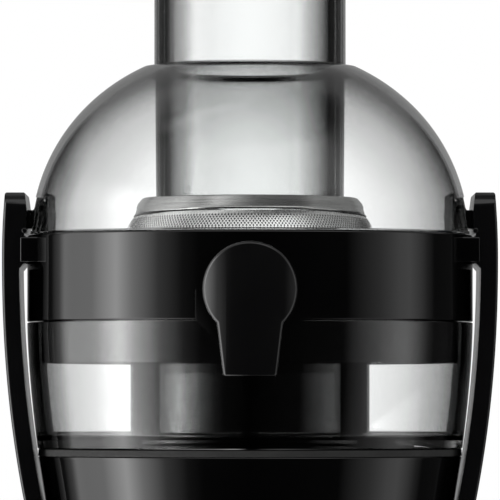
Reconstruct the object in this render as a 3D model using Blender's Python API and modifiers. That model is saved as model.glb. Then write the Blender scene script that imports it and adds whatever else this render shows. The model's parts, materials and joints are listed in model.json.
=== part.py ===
"""Compact centrifugal juicer.

A tulip shaped motor base carries, on a drive axis that runs straight up: a
ring shaped pulp container around the motor tower, a juice collector with a
turning keyhole spout, a cone sieve that spins with the motor, and a domed lid
with its feed tube and pusher. Two side clamps hook over the lid.

Metres, +Z up, front towards -Y. The base stands on z = 0 and the drive axis is
set back, so that the origin is under the middle of the whole object.
"""
import math

import bmesh
import bpy
from mathutils import Matrix, Vector

# ---- driving dimensions: heights above the floor -----------------------------
BASE_BOTTOM = 0.0040      # lower edge of the base shell
WAIST_Z = 0.0520          # narrowest height of the base
PIVOT_Z = 0.1000          # clamp hinge axis
DECK_Z = 0.1530           # top of the base, under the pulp container
CUP_BOTTOM = 0.1553       # pulp container
TOWER_TOP = 0.1960        # motor tower inside the container
BAND_BOTTOM = 0.1998      # juice collector band
BAND_TOP = 0.2300
SIEVE_TOP = 0.2432
CLAMP_TOP = 0.2445
TUBE_TOP = 0.3430         # feed tube rim
PUSHER_TOP = 0.3600

# ---- driving dimensions: radii about the drive axis --------------------------
FOOT_R = 0.0670           # base at the floor
WAIST_R = 0.0610
DECK_R = 0.0740           # base at its top
CUP_FOOT_R = 0.0742       # pulp container at its floor
BAND_R = 0.0779           # juice collector
CLAMP_R = 0.0860          # clamps at their widest
TUBE_R = 0.0335           # feed tube, outside
BORE_R = 0.0303           # feed tube, inside
TOWER_R = 0.0378
SHAFT_R = 0.0040

# ---- walls, gaps, facets -----------------------------------------------------
WALL = 0.0026             # opaque shells
CLEAR_WALL = 0.0028       # lid and feed tube
CUP_WALL = 0.0037         # pulp container
GAP = 0.0003              # left between pieces that touch
RUN = 0.0010              # left around what spins
ROUND = 32                # facets of the large turned pieces
SMALL_ROUND = 14          # facets of the small ones

# ---- lid dome: a superellipse about the drive axis ---------------------------
DOME_Z = 0.2257
DOME_R = 0.0769
DOME_HEIGHT = 0.0710
DOME_POWER = 2.12

# ---- clamps ------------------------------------------------------------------
PIVOT_X = 0.0610
CLAMP_HALF_WIDTH = 0.0230
CLAMP_FOOT_HALF_WIDTH = 0.0130
CLAMP_THICK = 0.0074
CLAMP_KNEE_THICK = 0.0063
CLAMP_FOOT_THICK = 0.0050
CLAMP_BOW_Z = 0.2220      # height of the widest point
CLAMP_KNEE_Z = 0.1376     # the arm is straight below this height
CLAMP_KNEE_DROP = 0.0077  # how far the knee lies inside the widest point
CLAMP_POWER = 2.136
CLAMP_FOOT_SLOPE = 0.175  # inward lean of the straight part
HOOK_BACK = 0.0702        # back wall of the lid's hook pockets
HOOK_LOW = 0.2315
HOOK_HIGH = 0.2435
HOOK_HALF_WIDTH = 0.0104  # of the pocket; the hook itself is narrower
HOOK_NOSE = 0.0086        # half width of the hook
POCKET_HALF_WIDTH = 0.0146

# ---- spout, knob, plungers ---------------------------------------------------
SPOUT_Z = 0.2097
SPOUT_HEAD_R = 0.0160
SPOUT_BACK = 0.0808       # distances in front of the drive axis
SPOUT_FRONT = 0.0964
SPOUT_NECK_TOP = 0.0223
SPOUT_NECK_BOTTOM = 0.0180
SPOUT_BOTTOM_Z = 0.1804
STUB_R = 0.0080
KNOB_Z = WAIST_Z
KNOB_R = 0.0180
KNOB_SEAT = 0.0640
KNOB_FRONT = 0.0770
PLUNGER_Z = 0.1220
PLUNGER_R = 0.0024

# The object reaches SPOUT_FRONT ahead of the drive axis and BAND_R behind it.
AXIS_Y = (SPOUT_FRONT - BAND_R) / 2


# ---- scene and helpers -------------------------------------------------------

def clear_scene():
    for obj in list(bpy.data.objects):
        bpy.data.objects.remove(obj, do_unlink=True)


def collection(name):
    group = bpy.data.collections.new(name)
    bpy.context.scene.collection.children.link(group)
    return group


def material(name, colour, roughness, metallic=0.0, alpha=1.0):
    mat = bpy.data.materials.new(name)
    mat.use_nodes = True
    shader = mat.node_tree.nodes["Principled BSDF"]
    shader.inputs["Base Color"].default_value = (*colour, 1.0)
    shader.inputs["Roughness"].default_value = roughness
    shader.inputs["Metallic"].default_value = metallic
    shader.inputs["Alpha"].default_value = alpha
    return mat


def gloss_black(name):
    return material(name, (0.010, 0.010, 0.011), 0.12)


def matt_black(name):
    return material(name, (0.020, 0.020, 0.021), 0.55)


def clear_plastic(name):
    return material(name, (0.86, 0.87, 0.87), 0.06, alpha=0.3)


def polished_steel(name):
    return material(name, (0.62, 0.62, 0.61), 0.22, metallic=1.0)


def black_rubber(name):
    return material(name, (0.018, 0.018, 0.018), 0.8)


def empty(name, location, parent=None):
    pivot = bpy.data.objects.new(name, None)
    pivot.location = location
    pivot.parent = parent
    PARTS.objects.link(pivot)
    return pivot


def add(name, mesh, mat, parent, at=(0, 0, 0), turn=(0, 0, 0)):
    """Place a piece; `at` is measured from the foot of the drive axis."""
    obj = bpy.data.objects.new(name, mesh)
    obj.parent = parent
    base = Vector((0, 0, 0)) if parent is AXIS else parent.location
    obj.location = Vector(at) - base
    obj.rotation_euler = turn
    if mat is None:
        obj.display_type = "WIRE"
        obj.hide_render = True
        CUTTERS.objects.link(obj)
    else:
        mesh.materials.append(mat)
        PARTS.objects.link(obj)
    return obj


def bevel(obj, width, segments=2, angle=40):
    mod = obj.modifiers.new("rounded_edges", "BEVEL")
    mod.width = width
    mod.segments = segments
    mod.limit_method = "ANGLE"
    mod.angle_limit = math.radians(angle)


def boolean(obj, other, operation="DIFFERENCE"):
    mod = obj.modifiers.new(other.name, "BOOLEAN")
    mod.operation = operation
    mod.object = other
    mod.solver = "EXACT"


def turned(name, profile, mat, parent=None, steps=ROUND, at=(0, 0, 0), turn=(0, 0, 0)):
    """Turn a profile of (radius, height) points, clockwise with the axis at its left.

    A profile that starts on the axis is open there; any other is a closed loop.
    """
    mesh = bpy.data.meshes.new(name)
    count = len(profile)
    edges = [(i, i + 1) for i in range(count - 1)]
    if profile[0][0] > 0:
        edges.append((count - 1, 0))
    mesh.from_pydata([(r, 0, z) for r, z in profile], edges, [])
    obj = add(name, mesh, mat, parent or AXIS, at, turn)
    screw = obj.modifiers.new("turned", "SCREW")
    screw.axis = "Z"
    screw.steps = steps
    screw.render_steps = steps
    screw.use_merge_vertices = True
    screw.merge_threshold = 0.00002
    screw.use_smooth_shade = True
    return obj


def ring(name, inner, outer, low, high, mat, parent=None, steps=SMALL_ROUND, at=(0, 0, 0),
         turn=(0, 0, 0)):
    loop = [(inner, high), (outer, high), (outer, low), (inner, low)]
    return turned(name, loop, mat, parent, steps, at, turn)


def rod(name, radius, low, high, mat, parent=None, steps=SMALL_ROUND, at=(0, 0, 0),
        turn=(0, 0, 0)):
    profile = [(0, high), (radius, high), (radius, low), (0, low)]
    return turned(name, profile, mat, parent, steps, at, turn)


def box_mesh(name, boxes):
    """One mesh of separate boxes, each (low corner, high corner, turn about Z)."""
    bm = bmesh.new()
    for low, high, angle in boxes:
        low = Vector(low)
        high = Vector(high)
        size = Matrix.Diagonal((*(high - low), 1))
        spin = Matrix.Rotation(angle, 4, "Z")
        matrix = spin @ Matrix.Translation((low + high) / 2) @ size
        bmesh.ops.create_cube(bm, size=1, matrix=matrix)
    mesh = bpy.data.meshes.new(name)
    bm.to_mesh(mesh)
    bm.free()
    return mesh


def box(name, low, high, mat, parent=None):
    """A box with its origin at its middle; corners measured from the drive axis foot."""
    low = Vector(low)
    high = Vector(high)
    half = (high - low) / 2
    mesh = box_mesh(name, [(-half, half, 0)])
    return add(name, mesh, mat, parent or AXIS, (low + high) / 2)


def posts(name, radius, low, high, spots, steps=10):
    """Equal upright cylinders in one cutter."""
    bm = bmesh.new()
    for x, y in spots:
        bmesh.ops.create_cone(bm, cap_ends=True, segments=steps, radius1=radius,
                              radius2=radius, depth=high - low,
                              matrix=Matrix.Translation((x, y, (low + high) / 2)))
    mesh = bpy.data.meshes.new(name)
    bm.to_mesh(mesh)
    bm.free()
    return add(name, mesh, None, AXIS)


def round_spots(radius, count, start=0.0):
    angles = [start + 2 * math.pi * i / count for i in range(count)]
    return [(radius * math.cos(a), radius * math.sin(a)) for a in angles]


def outline(name, points, depth, mat, parent, at, turn):
    """A flat closed outline, extruded by half of `depth` each way."""
    curve = bpy.data.curves.new(name, "CURVE")
    curve.dimensions = "2D"
    curve.fill_mode = "BOTH"
    curve.extrude = depth / 2
    spline = curve.splines.new("POLY")
    spline.points.add(len(points) - 1)
    for point, (x, y) in zip(spline.points, points):
        point.co = (x, y, 0, 1)
    spline.use_cyclic_u = True
    source = bpy.data.objects.new(name + "_outline", curve)
    CUTTERS.objects.link(source)
    graph = bpy.context.evaluated_depsgraph_get()
    mesh = bpy.data.meshes.new_from_object(source.evaluated_get(graph))
    bpy.data.objects.remove(source)
    bm = bmesh.new()
    bm.from_mesh(mesh)
    bmesh.ops.remove_doubles(bm, verts=bm.verts, dist=0.00002)
    bm.to_mesh(mesh)
    bm.free()
    return add(name, mesh, mat, parent, at, turn)


def arc(centre, radius, start, end, count):
    """Points on a circle; angles in degrees."""
    angles = [math.radians(start + (end - start) * i / count) for i in range(count + 1)]
    return [(centre[0] + radius * math.cos(a), centre[1] + radius * math.sin(a)) for a in angles]


FACE_FRONT = (math.radians(90), 0, 0)      # local +Z points to the front, -Y


# ---- motor base --------------------------------------------------------------

def base_radius(z):
    """Outer radius of the tulip shaped base at height z."""
    if z > WAIST_Z:
        rise = (z - WAIST_Z) / (DECK_Z - WAIST_Z)
        return WAIST_R + (DECK_R - WAIST_R) * rise ** 1.3
    fall = (WAIST_Z - z) / (WAIST_Z - BASE_BOTTOM)
    return WAIST_R + (FOOT_R - WAIST_R) * fall ** 2


def heights(low, high, count):
    return [low + (high - low) * i / count for i in range(count + 1)]


def base_shell():
    """Tulip wall, deck and motor tower in one moulding, open underneath."""
    edge = 0.0012
    tower_edge = 0.0050
    roof = TOWER_TOP - WALL
    under_deck = DECK_Z - WALL
    outer = [(base_radius(z), z) for z in heights(DECK_Z - edge, BASE_BOTTOM, 7)]
    inner = [(base_radius(z) - WALL, z) for z in heights(BASE_BOTTOM, under_deck, 5)]
    profile = [(0.0091, TOWER_TOP), (TOWER_R - tower_edge, TOWER_TOP)]
    profile += [(TOWER_R - 0.0008, TOWER_TOP - tower_edge), (TOWER_R, DECK_Z)]
    profile += [(DECK_R - edge, DECK_Z)] + outer + inner
    profile += [(TOWER_R - WALL, under_deck), (TOWER_R - WALL - 0.0008, roof - tower_edge)]
    profile += [(TOWER_R - WALL - tower_edge, roof), (0.0091, roof)]
    shell = turned("base_shell", profile, gloss_black("base_gloss_black"))

    core = [(0, DECK_Z - edge)]
    core += [(base_radius(z) - WALL / 3, z) for z in heights(DECK_Z - edge, BASE_BOTTOM, 7)]
    core += [(0, BASE_BOTTOM)]
    tulip_core = turned("tulip_core", core, None)
    for side, name in ((-1, "left"), (1, "right")):
        clamp_pocket(shell, tulip_core, side, name)
        hole = rod(name + "_plunger_hole", PLUNGER_R + 0.0004, 0.058, 0.075, None,
                   at=(0, 0, PLUNGER_Z), turn=(0, math.radians(90 * side), 0))
        boolean(shell, hole)

    boolean(shell, posts("screw_bosses", 0.0045, PLATE_HIGH + GAP, 0.026, SCREW_SPOTS), "UNION")
    boolean(shell, posts("boss_holes", 0.0020, 0.0060, 0.0220, SCREW_SPOTS))

    seat = rod("knob_seat", KNOB_R + 0.0010, WAIST_R - 0.0045, KNOB_SEAT - GAP, None,
               at=(0, 0, KNOB_Z), turn=FACE_FRONT, steps=32)
    boolean(shell, seat, "UNION")
    boolean(shell, rod("spindle_hole", 0.0034, 0.050, 0.070, None, at=(0, 0, KNOB_Z),
                       turn=FACE_FRONT))
    boolean(shell, rod("gland_hole", 0.0058, 0.055, 0.070, None, at=(0, 0, GLAND_Z),
                       turn=(math.radians(-90), 0, 0), steps=14))


def clamp_pocket(shell, tulip_core, side, name):
    """A walled pocket in the base where the foot of a clamp turns on its pin."""
    low_z = PIVOT_Z - 0.0150
    high_z = PIVOT_Z + 0.0130
    wall = 0.0022
    deep = 0.0490
    width = POCKET_HALF_WIDTH
    outside = 0.0800

    def span(x_in, x_out, half, low, high):
        xs = sorted((side * x_in, side * x_out))
        return (xs[0], -half, low), (xs[1], half, high)

    block = box(name + "_pocket_block",
                *span(deep - wall, outside, width + wall, low_z - wall, high_z + wall), None)
    boolean(block, tulip_core, "INTERSECT")
    boolean(shell, block, "UNION")
    boolean(shell, box(name + "_pocket", *span(deep, outside, width, low_z, high_z), None))
    pin_hole = rod(name + "_pin_hole", PIN_R + GAP, -PIN_HALF - GAP, PIN_HALF + GAP, None,
                   at=(side * PIVOT_X, 0, PIVOT_Z), turn=FACE_FRONT)
    boolean(shell, pin_hole)


SCREW_SPOTS = round_spots(0.0570, 4, 0.35)
FOOT_SPOTS = {
    "front_left": (-0.0360, -0.0360),
    "front_right": (0.0360, -0.0360),
    "rear_left": (-0.0360, 0.0360),
    "rear_right": (0.0360, 0.0360),
}
PLATE_LOW = 0.0050
PLATE_HIGH = 0.0075
PIN_R = 0.0020
PIN_HALF = 0.0162
GLAND_Z = 0.0240


def base_plate():
    plate = rod("base_plate", 0.0636, PLATE_LOW, PLATE_HIGH, matt_black("plate_matt_black"),
                steps=ROUND)
    vents = [((0.018, -0.002, 0), (0.044, 0.002, 0.012), math.pi / 4 * i) for i in range(8)
             if i % 2 == 0]
    vents += [((0.018, -0.002, 0), (0.038, 0.002, 0.012), math.pi / 4 * i) for i in range(8)
              if i % 2 == 1]
    boolean(plate, add("plate_vents", box_mesh("plate_vents", vents), None, AXIS))
    boolean(plate, posts("plate_screw_holes", 0.0023, 0, 0.010, SCREW_SPOTS))
    boolean(plate, posts("plate_foot_holes", 0.0028, 0, 0.010, FOOT_SPOTS.values()))


def base_screws():
    """Pan head screws from below, through the plate into the shell's bosses."""
    head = 0.0034
    shank = 0.0017
    under = PLATE_LOW - GAP
    profile = [(0, 0.0200), (shank, 0.0200), (shank, under), (head, under)]
    profile += [(head - 0.0006, under - 0.0018), (0, under - 0.0018)]
    for i, (x, y) in enumerate(SCREW_SPOTS, 1):
        turned(f"base_screw_{i}", profile, polished_steel(f"base_screw_zinc_{i}"), steps=10,
               at=(x, y, 0))


def feet():
    for place, (x, y) in FOOT_SPOTS.items():
        profile = [(0, 0.0098), (0.0030, 0.0098), (0.0034, 0.0090), (0.0025, 0.0080)]
        profile += [(0.0025, PLATE_LOW - GAP), (0.0080, PLATE_LOW - GAP), (0.0078, 0.0006)]
        profile += [(0.0070, 0), (0, 0)]
        turned("foot_" + place, profile, black_rubber("foot_rubber_" + place), at=(x, y, 0),
               steps=16)


def seat_ring():
    """Soft ring on the deck that the pulp container stands on."""
    top = CUP_BOTTOM - GAP
    ring("seat_ring", 0.0660, DECK_R - 0.0004, DECK_Z + GAP, top, black_rubber("seat_rubber"),
         steps=ROUND)


def cord_gland():
    """Tapered sleeve around the cord's way out at the back of the base."""
    profile = [(0.0034, 0.0755), (0.0048, 0.0755), (0.0064, 0.0665), (0.0064, 0.0647)]
    profile += [(0.0054, 0.0647), (0.0054, 0.0584), (0.0070, 0.0584), (0.0070, 0.0560)]
    profile += [(0.0034, 0.0560)]
    turned("cord_gland", profile, black_rubber("gland_rubber"), steps=SMALL_ROUND,
           at=(0, 0, GLAND_Z), turn=(math.radians(-90), 0, 0))


# ---- motor -------------------------------------------------------------------
STATOR_LOW = 0.1180
STATOR_HIGH = 0.1580
STATOR_HALF = 0.0250
BOLT_SPOTS = round_spots(0.0285, 4, math.radians(45))


def motor_stator():
    half = STATOR_HALF
    stator = box("motor_stator", (-half, -half, STATOR_LOW), (half, half, STATOR_HIGH),
                 material("lamination_steel", (0.33, 0.34, 0.36), 0.45, metallic=0.9))
    bevel(stator, 0.0075, segments=1)
    boolean(stator, rod("stator_bore", 0.0178, STATOR_LOW - 0.01, STATOR_HIGH + 0.01, None))
    boolean(stator, posts("stator_bolt_holes", 0.0020, STATOR_LOW - 0.01, STATOR_HIGH + 0.01,
                          BOLT_SPOTS, steps=8))


def field_coils():
    """Wound ends of the field coils, below and above the laminations."""
    for name, low in (("lower", STATOR_LOW - 0.0083), ("upper", STATOR_HIGH + GAP)):
        high = low + 0.0080
        loop = [(0.0185, high), (0.0235, high), (0.0245, high - 0.0012), (0.0245, low),
                (0.0185, low)]
        turned(name + "_field_coil", loop,
               material(name + "_coil_copper", (0.72, 0.30, 0.12), 0.35, metallic=0.8),
               steps=SMALL_ROUND)


def bracket(name, low, cup_low, cup_high):
    """Round end bracket with a cup that holds the bearing."""
    high = low + 0.0030
    thick = 0.0022
    bore = BEARING_R + GAP
    steel = material(name + "_zinc", (0.55, 0.56, 0.57), 0.4, metallic=0.9)
    loop = [(bore, cup_high), (bore + thick, cup_high), (bore + thick, high), (0.0320, high)]
    loop += [(0.0320, low), (bore + thick, low), (bore + thick, cup_low), (bore, cup_low)]
    plate = turned(name, [p for i, p in enumerate(loop) if i == 0 or p != loop[i - 1]], steel,
                   steps=SMALL_ROUND)
    boolean(plate, posts(name + "_vents", 0.0045, low - 0.005, high + 0.005,
                         round_spots(0.0210, 4, 0.1), steps=8))
    boolean(plate, posts(name + "_holes", 0.0020, low - 0.005, high + 0.005, BOLT_SPOTS, steps=8))


BEARING_R = 0.0080
LOWER_BRACKET = 0.0860
UPPER_BRACKET = 0.1710


def bearings():
    steel = polished_steel
    inner = SHAFT_R + GAP
    ring("lower_bearing", inner, BEARING_R, LOWER_BRACKET - 0.0040, LOWER_BRACKET + 0.0030,
         steel("lower_bearing_steel"))
    ring("upper_bearing", inner, BEARING_R, UPPER_BRACKET, UPPER_BRACKET + 0.0070,
         steel("upper_bearing_steel"))


def motor_bolts():
    """Two long bolts that clamp the laminations between the end brackets."""
    for i, (x, y) in enumerate(BOLT_SPOTS[::2], 1):
        rod(f"motor_bolt_{i}", 0.0016, LOWER_BRACKET - 0.0040, UPPER_BRACKET + 0.0060,
            polished_steel(f"bolt_steel_{i}"), steps=10, at=(x, y, 0))


def motor_mount():
    """Rubber ring that hangs the motor from the roof of the tower."""
    low = UPPER_BRACKET + 0.0030 + GAP
    high = TOWER_TOP - WALL - GAP
    ring("motor_mount", 0.0180, 0.0240, low, high, black_rubber("mount_rubber"))


def brush_gear():
    """Carbon brushes on the commutator, and the tubes that guide them."""
    middle = (COMMUTATOR_LOW + COMMUTATOR_HIGH) / 2
    for side, name in ((-1, "left"), (1, "right")):
        inside, outside = COMMUTATOR_R + GAP, 0.0210
        xs = sorted((side * inside, side * outside))
        box(name + "_carbon_brush", (xs[0], -0.0025, middle - 0.0035),
            (xs[1], 0.0025, middle + 0.0035),
            material(name + "_carbon", (0.03, 0.03, 0.032), 0.5, metallic=0.3))
        xs = sorted((side * 0.0125, side * 0.0250))
        tube = box(name + "_brush_holder", (xs[0], -0.0042, middle - 0.0052),
                   (xs[1], 0.0042, middle + 0.0052),
                   material(name + "_brass", (0.78, 0.57, 0.25), 0.3, metallic=1.0))
        xs = sorted((side * 0.0090, side * 0.0310))
        boolean(tube, box(name + "_brush_bore", (xs[0], -0.0028, middle - 0.0038),
                          (xs[1], 0.0028, middle + 0.0038), None))


COMMUTATOR_LOW = 0.0950
COMMUTATOR_HIGH = 0.1070
COMMUTATOR_R = 0.0090
FAN_LOW = 0.0680
FAN_HIGH = 0.0800
COUPLING_TOP = 0.2035


def rotor():
    """Everything that spins inside the motor."""
    bore = SHAFT_R + GAP
    rod("rotor_shaft", SHAFT_R, FAN_LOW - 0.0040, COUPLING_TOP - 0.0015,
        polished_steel("shaft_steel"), ROTOR)
    middle = 0.0165
    winding = 0.0130
    loop = [(bore, STATOR_HIGH + 0.0080), (winding, STATOR_HIGH + 0.0080)]
    loop += [(winding + 0.0015, STATOR_HIGH + 0.0010), (middle, STATOR_HIGH)]
    loop += [(middle, STATOR_LOW), (winding + 0.0015, STATOR_LOW - 0.0010)]
    loop += [(winding, STATOR_LOW - 0.0080), (bore, STATOR_LOW - 0.0080)]
    turned("armature", loop, material("armature_copper", (0.55, 0.26, 0.12), 0.4, metallic=0.7),
           ROTOR, SMALL_ROUND)
    ring("commutator", bore, COMMUTATOR_R, COMMUTATOR_LOW, COMMUTATOR_HIGH,
         material("commutator_copper", (0.75, 0.38, 0.20), 0.3, metallic=1.0), ROTOR)

    fan = ring("cooling_fan", bore, 0.0300, FAN_HIGH - 0.0020, FAN_HIGH,
               material("fan_plastic", (0.10, 0.10, 0.11), 0.5), ROTOR)
    boolean(fan, ring("fan_hub", bore, 0.0080, FAN_LOW, FAN_HIGH - 0.0010, None), "UNION")
    blades = [((0.0120, -0.0006, FAN_LOW + 0.0010), (0.0290, 0.0006, FAN_HIGH - 0.0010),
               2 * math.pi * i / 7) for i in range(7)]
    boolean(fan, add("fan_blades", box_mesh("fan_blades", blades), None, AXIS), "UNION")

    coupling = rod("drive_coupling", COUPLING_R, TOWER_TOP + RUN, COUPLING_TOP,
                   material("coupling_plastic", (0.05, 0.05, 0.055), 0.4), ROTOR, steps=6)
    boolean(coupling, rod("coupling_bore", bore, TOWER_TOP, COUPLING_TOP + 0.001, None))


COUPLING_R = 0.0092


def shaft_seal():
    ring("shaft_seal", SHAFT_R + GAP, 0.0088, TOWER_TOP - WALL, TOWER_TOP - GAP,
         black_rubber("seal_rubber"))


# ---- sieve, which spins on the drive coupling --------------------------------
SIEVE_FLOOR = 0.2052      # top of the hub, under the grater disc
GRATER_R = 0.0450
SIEVE_FOOT_R = 0.0540


def sieve_radius(z):
    """Outer radius of the perforated cone, which widens downwards."""
    drop = (SIEVE_MESH_TOP - z) / (SIEVE_MESH_TOP - SIEVE_FLOOR)
    return SIEVE_NECK_R + (SIEVE_FOOT_R - 0.0006 - SIEVE_NECK_R) * drop ** 0.78


SIEVE_MESH_TOP = 0.2386
SIEVE_NECK_R = 0.0408


def sieve_hub():
    low = TOWER_TOP + 0.0015
    ring_low = BAND_BOTTOM - 0.0008
    web = SIEVE_FLOOR - 0.0026
    profile = [(0, SIEVE_FLOOR), (SIEVE_FOOT_R, SIEVE_FLOOR), (SIEVE_FOOT_R, ring_low)]
    profile += [(0.0515, ring_low), (0.0515, web), (0.0140, web), (0.0140, low), (0, low)]
    hub = turned("sieve_hub", profile, matt_black("hub_black"), ROTOR, ROUND)
    slots = [((0.0455, -0.0170, 0.19), (0.0510, 0.0170, 0.22), 2 * math.pi * i / 6)
             for i in range(6)]
    boolean(hub, add("pulp_slots", box_mesh("pulp_slots", slots), None, AXIS))
    socket = rod("hub_socket", COUPLING_R + 0.0006, 0.19, COUPLING_TOP + 0.0004, None, steps=6)
    boolean(hub, socket)


def grater_disc():
    """Toothed disc that shreds what comes down the feed tube."""
    low = SIEVE_FLOOR + GAP
    high = low + 0.0012
    profile = [(0, high + 0.0022), (0.0030, high + 0.0018), (0.0060, high), (GRATER_R, high)]
    profile += [(GRATER_R, low), (0, low)]
    turned("grater_disc", profile, polished_steel("grater_steel"), ROTOR, ROUND)


def sieve_mesh():
    low = SIEVE_FLOOR + GAP
    levels = heights(SIEVE_MESH_TOP, low, 4)
    thick = 0.0007
    loop = [(sieve_radius(z), z) for z in levels]
    loop += [(sieve_radius(z) - thick, z) for z in reversed(levels)]
    turned("sieve_mesh", loop, polished_steel("mesh_steel"), ROTOR)


def sieve_rim():
    """Polished collar around the top of the perforated cone."""
    top_r = 0.0377
    thick = 0.0008
    low = SIEVE_MESH_TOP + GAP
    loop = [(top_r - 0.0008, SIEVE_TOP), (top_r, SIEVE_TOP - 0.0003), (SIEVE_NECK_R + 0.0002, low)]
    loop += [(SIEVE_NECK_R + 0.0002 - thick, low), (top_r - 0.0016, SIEVE_TOP - 0.0010)]
    turned("sieve_rim", loop, polished_steel("rim_steel"), ROTOR)


# ---- pulp container ----------------------------------------------------------

def cup_radius(z):
    """Outer radius of the pulp container, which carries on the curve of the base."""
    drop = (BAND_BOTTOM - z) / (BAND_BOTTOM - CUP_BOTTOM)
    return BAND_R - (BAND_R - CUP_FOOT_R) * drop ** 1.6


def pulp_container():
    """Clear ring shaped tub: outer wall, floor, and a column around the motor tower."""
    top = BAND_BOTTOM - GAP
    floor = CUP_BOTTOM + 0.0037
    column_top = TOWER_TOP + 0.0002
    levels = heights(top, CUP_BOTTOM, 4)
    loop = [(cup_radius(top) - CUP_WALL, top)]
    loop += [(cup_radius(z), z) for z in levels]
    loop += [(COLUMN_FOOT_R - CUP_WALL, CUP_BOTTOM), (COLUMN_TOP_R - CUP_WALL, column_top)]
    loop += [(COLUMN_TOP_R, column_top), (COLUMN_FOOT_R, floor + 0.0020)]
    loop += [(COLUMN_FOOT_R + 0.0020, floor)]
    loop += [(cup_radius(floor) - CUP_WALL - 0.0020, floor)]
    loop += [(cup_radius(z) - CUP_WALL, z) for z in heights(floor + 0.0020, top, 3)[:-1]]
    turned("pulp_container", loop, clear_plastic("container_clear"))


COLUMN_FOOT_R = 0.0425
COLUMN_TOP_R = 0.0411


# ---- juice collector ---------------------------------------------------------
SKIRT_BOTTOM = 0.1853
TROUGH_FLOOR = 0.2012
TONGUE_BOTTOM = 0.1820
INNER_WALL_TOP = 0.2080


def juice_collector():
    """Black band with the juice trough, a skirt, and a tongue behind the spout."""
    skirt_r = cup_radius(SKIRT_BOTTOM) - CUP_WALL - 0.0006
    skirt_in = skirt_r - 0.0017
    hole = SIEVE_FOOT_R + RUN
    under = TROUGH_FLOOR - 0.0022
    inside = BAND_R - WALL
    loop = [(inside, BAND_TOP), (BAND_R - 0.0006, BAND_TOP), (BAND_R, BAND_TOP - 0.0006)]
    loop += [(BAND_R, BAND_BOTTOM), (skirt_r, BAND_BOTTOM), (skirt_r, SKIRT_BOTTOM)]
    loop += [(skirt_in, SKIRT_BOTTOM), (skirt_in, under), (hole, under), (hole, INNER_WALL_TOP)]
    loop += [(hole + 0.0018, INNER_WALL_TOP), (hole + 0.0018, TROUGH_FLOOR + 0.0010)]
    loop += [(hole + 0.0028, TROUGH_FLOOR), (inside - 0.0015, TROUGH_FLOOR)]
    loop += [(inside, TROUGH_FLOOR + 0.0015)]
    band = turned("juice_collector", loop, gloss_black("collector_gloss_black"))
    near = CLAMP_HALF_WIDTH + 2 * GAP
    far = near + 0.0020
    guides = [((x, y, BAND_TOP - 0.0097), (x + 0.0067, y + far - near, BAND_TOP - 0.0011), 0)
              for x in (-0.0795, 0.0728) for y in (near, -far)]
    boolean(band, add("clamp_guides", box_mesh("clamp_guides", guides), None, AXIS), "UNION")

    join = BAND_BOTTOM + 0.0003
    out = BAND_R + 0.0022
    sleeve = [(inside + 0.0010, SPOUT_Z), (out, SPOUT_Z), (out, TONGUE_BOTTOM)]
    sleeve += [(BAND_R + GAP, TONGUE_BOTTOM), (BAND_R + GAP, join), (inside + 0.0010, join)]
    tongue = turned("tongue_sleeve", sleeve, None)
    shape = [(-0.0185, 0.2120), (-0.0185, 0.1994), (-0.0090, 0.1906)]
    shape.append((-0.0086, TONGUE_BOTTOM - 0.001))
    shape += [(-x, z) for x, z in reversed(shape)]
    plate = outline("tongue_plate", shape, 0.03, None, AXIS, (0, -BAND_R, 0), FACE_FRONT)
    boolean(tongue, plate, "INTERSECT")
    boss = rod("spout_boss", 0.0138, 0.0750, SPOUT_BACK - 0.0005, None, at=(0, 0, SPOUT_Z),
               turn=FACE_FRONT, steps=32)
    relief = ring("boss_relief", 0.0600, BAND_R + 2 * GAP, TONGUE_BOTTOM, join + GAP, None,
                  steps=ROUND)
    boolean(boss, relief)
    boolean(band, boss, "UNION")
    boolean(band, tongue, "UNION")
    boolean(band, rod("spout_hole", STUB_R + GAP + 0.0001, 0.0700, 0.0850, None,
                      at=(0, 0, SPOUT_Z), turn=FACE_FRONT, steps=32))


def spout():
    """Hollow keyhole spout on a stub; juice runs in at the back and out of the neck."""
    half_top = SPOUT_NECK_TOP / 2
    half_bottom = SPOUT_NECK_BOTTOM / 2
    neck_z = SPOUT_BOTTOM_Z - SPOUT_Z
    start = math.degrees(math.asin(half_top / SPOUT_HEAD_R))
    head = arc((0, 0), SPOUT_HEAD_R, -90 + start, 270 - start, 20)
    shape = head + [(-half_bottom, neck_z), (half_bottom, neck_z)]
    depth = SPOUT_FRONT - SPOUT_BACK
    middle = -(SPOUT_FRONT + SPOUT_BACK) / 2
    body = outline("spout", shape, depth, gloss_black("spout_gloss_black"), SPOUT,
                   (0, middle, SPOUT_Z), FACE_FRONT)
    bevel(body, 0.0012, segments=1, angle=50)
    boolean(body, rod("spout_stub", STUB_R, 0.0725, SPOUT_BACK + 0.0020, None, SPOUT,
                      at=(0, 0, SPOUT_Z), turn=FACE_FRONT), "UNION")
    boolean(body, rod("spout_bore", STUB_R - 0.0018, 0.0700, SPOUT_FRONT - 0.0025, None, SPOUT,
                      at=(0, 0, SPOUT_Z), turn=FACE_FRONT))
    throat = 0.0070
    boolean(body, box("spout_throat", (-throat, -SPOUT_FRONT + 0.0026, SPOUT_BOTTOM_Z - 0.005),
                      (throat, -SPOUT_BACK - 0.0020, SPOUT_Z - 0.001), None, SPOUT))


def spout_seal():
    """O-ring in the throat of the collector, around the spout's stub."""
    ring("spout_seal", STUB_R + GAP, STUB_R + 0.0022, SPOUT_BACK - 0.0004, SPOUT_BACK - 0.0001,
         black_rubber("spout_seal_rubber"), at=(0, 0, SPOUT_Z), turn=FACE_FRONT)


# ---- lid and pusher ----------------------------------------------------------

def dome_point(angle, inset=0.0):
    """A point of the dome's section; angle 0 is level with its widest ring."""
    power = 2 / DOME_POWER
    r = (DOME_R - inset) * math.cos(angle) ** power
    z = DOME_Z + (DOME_HEIGHT - inset) * math.sin(angle) ** power
    return r, z


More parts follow.
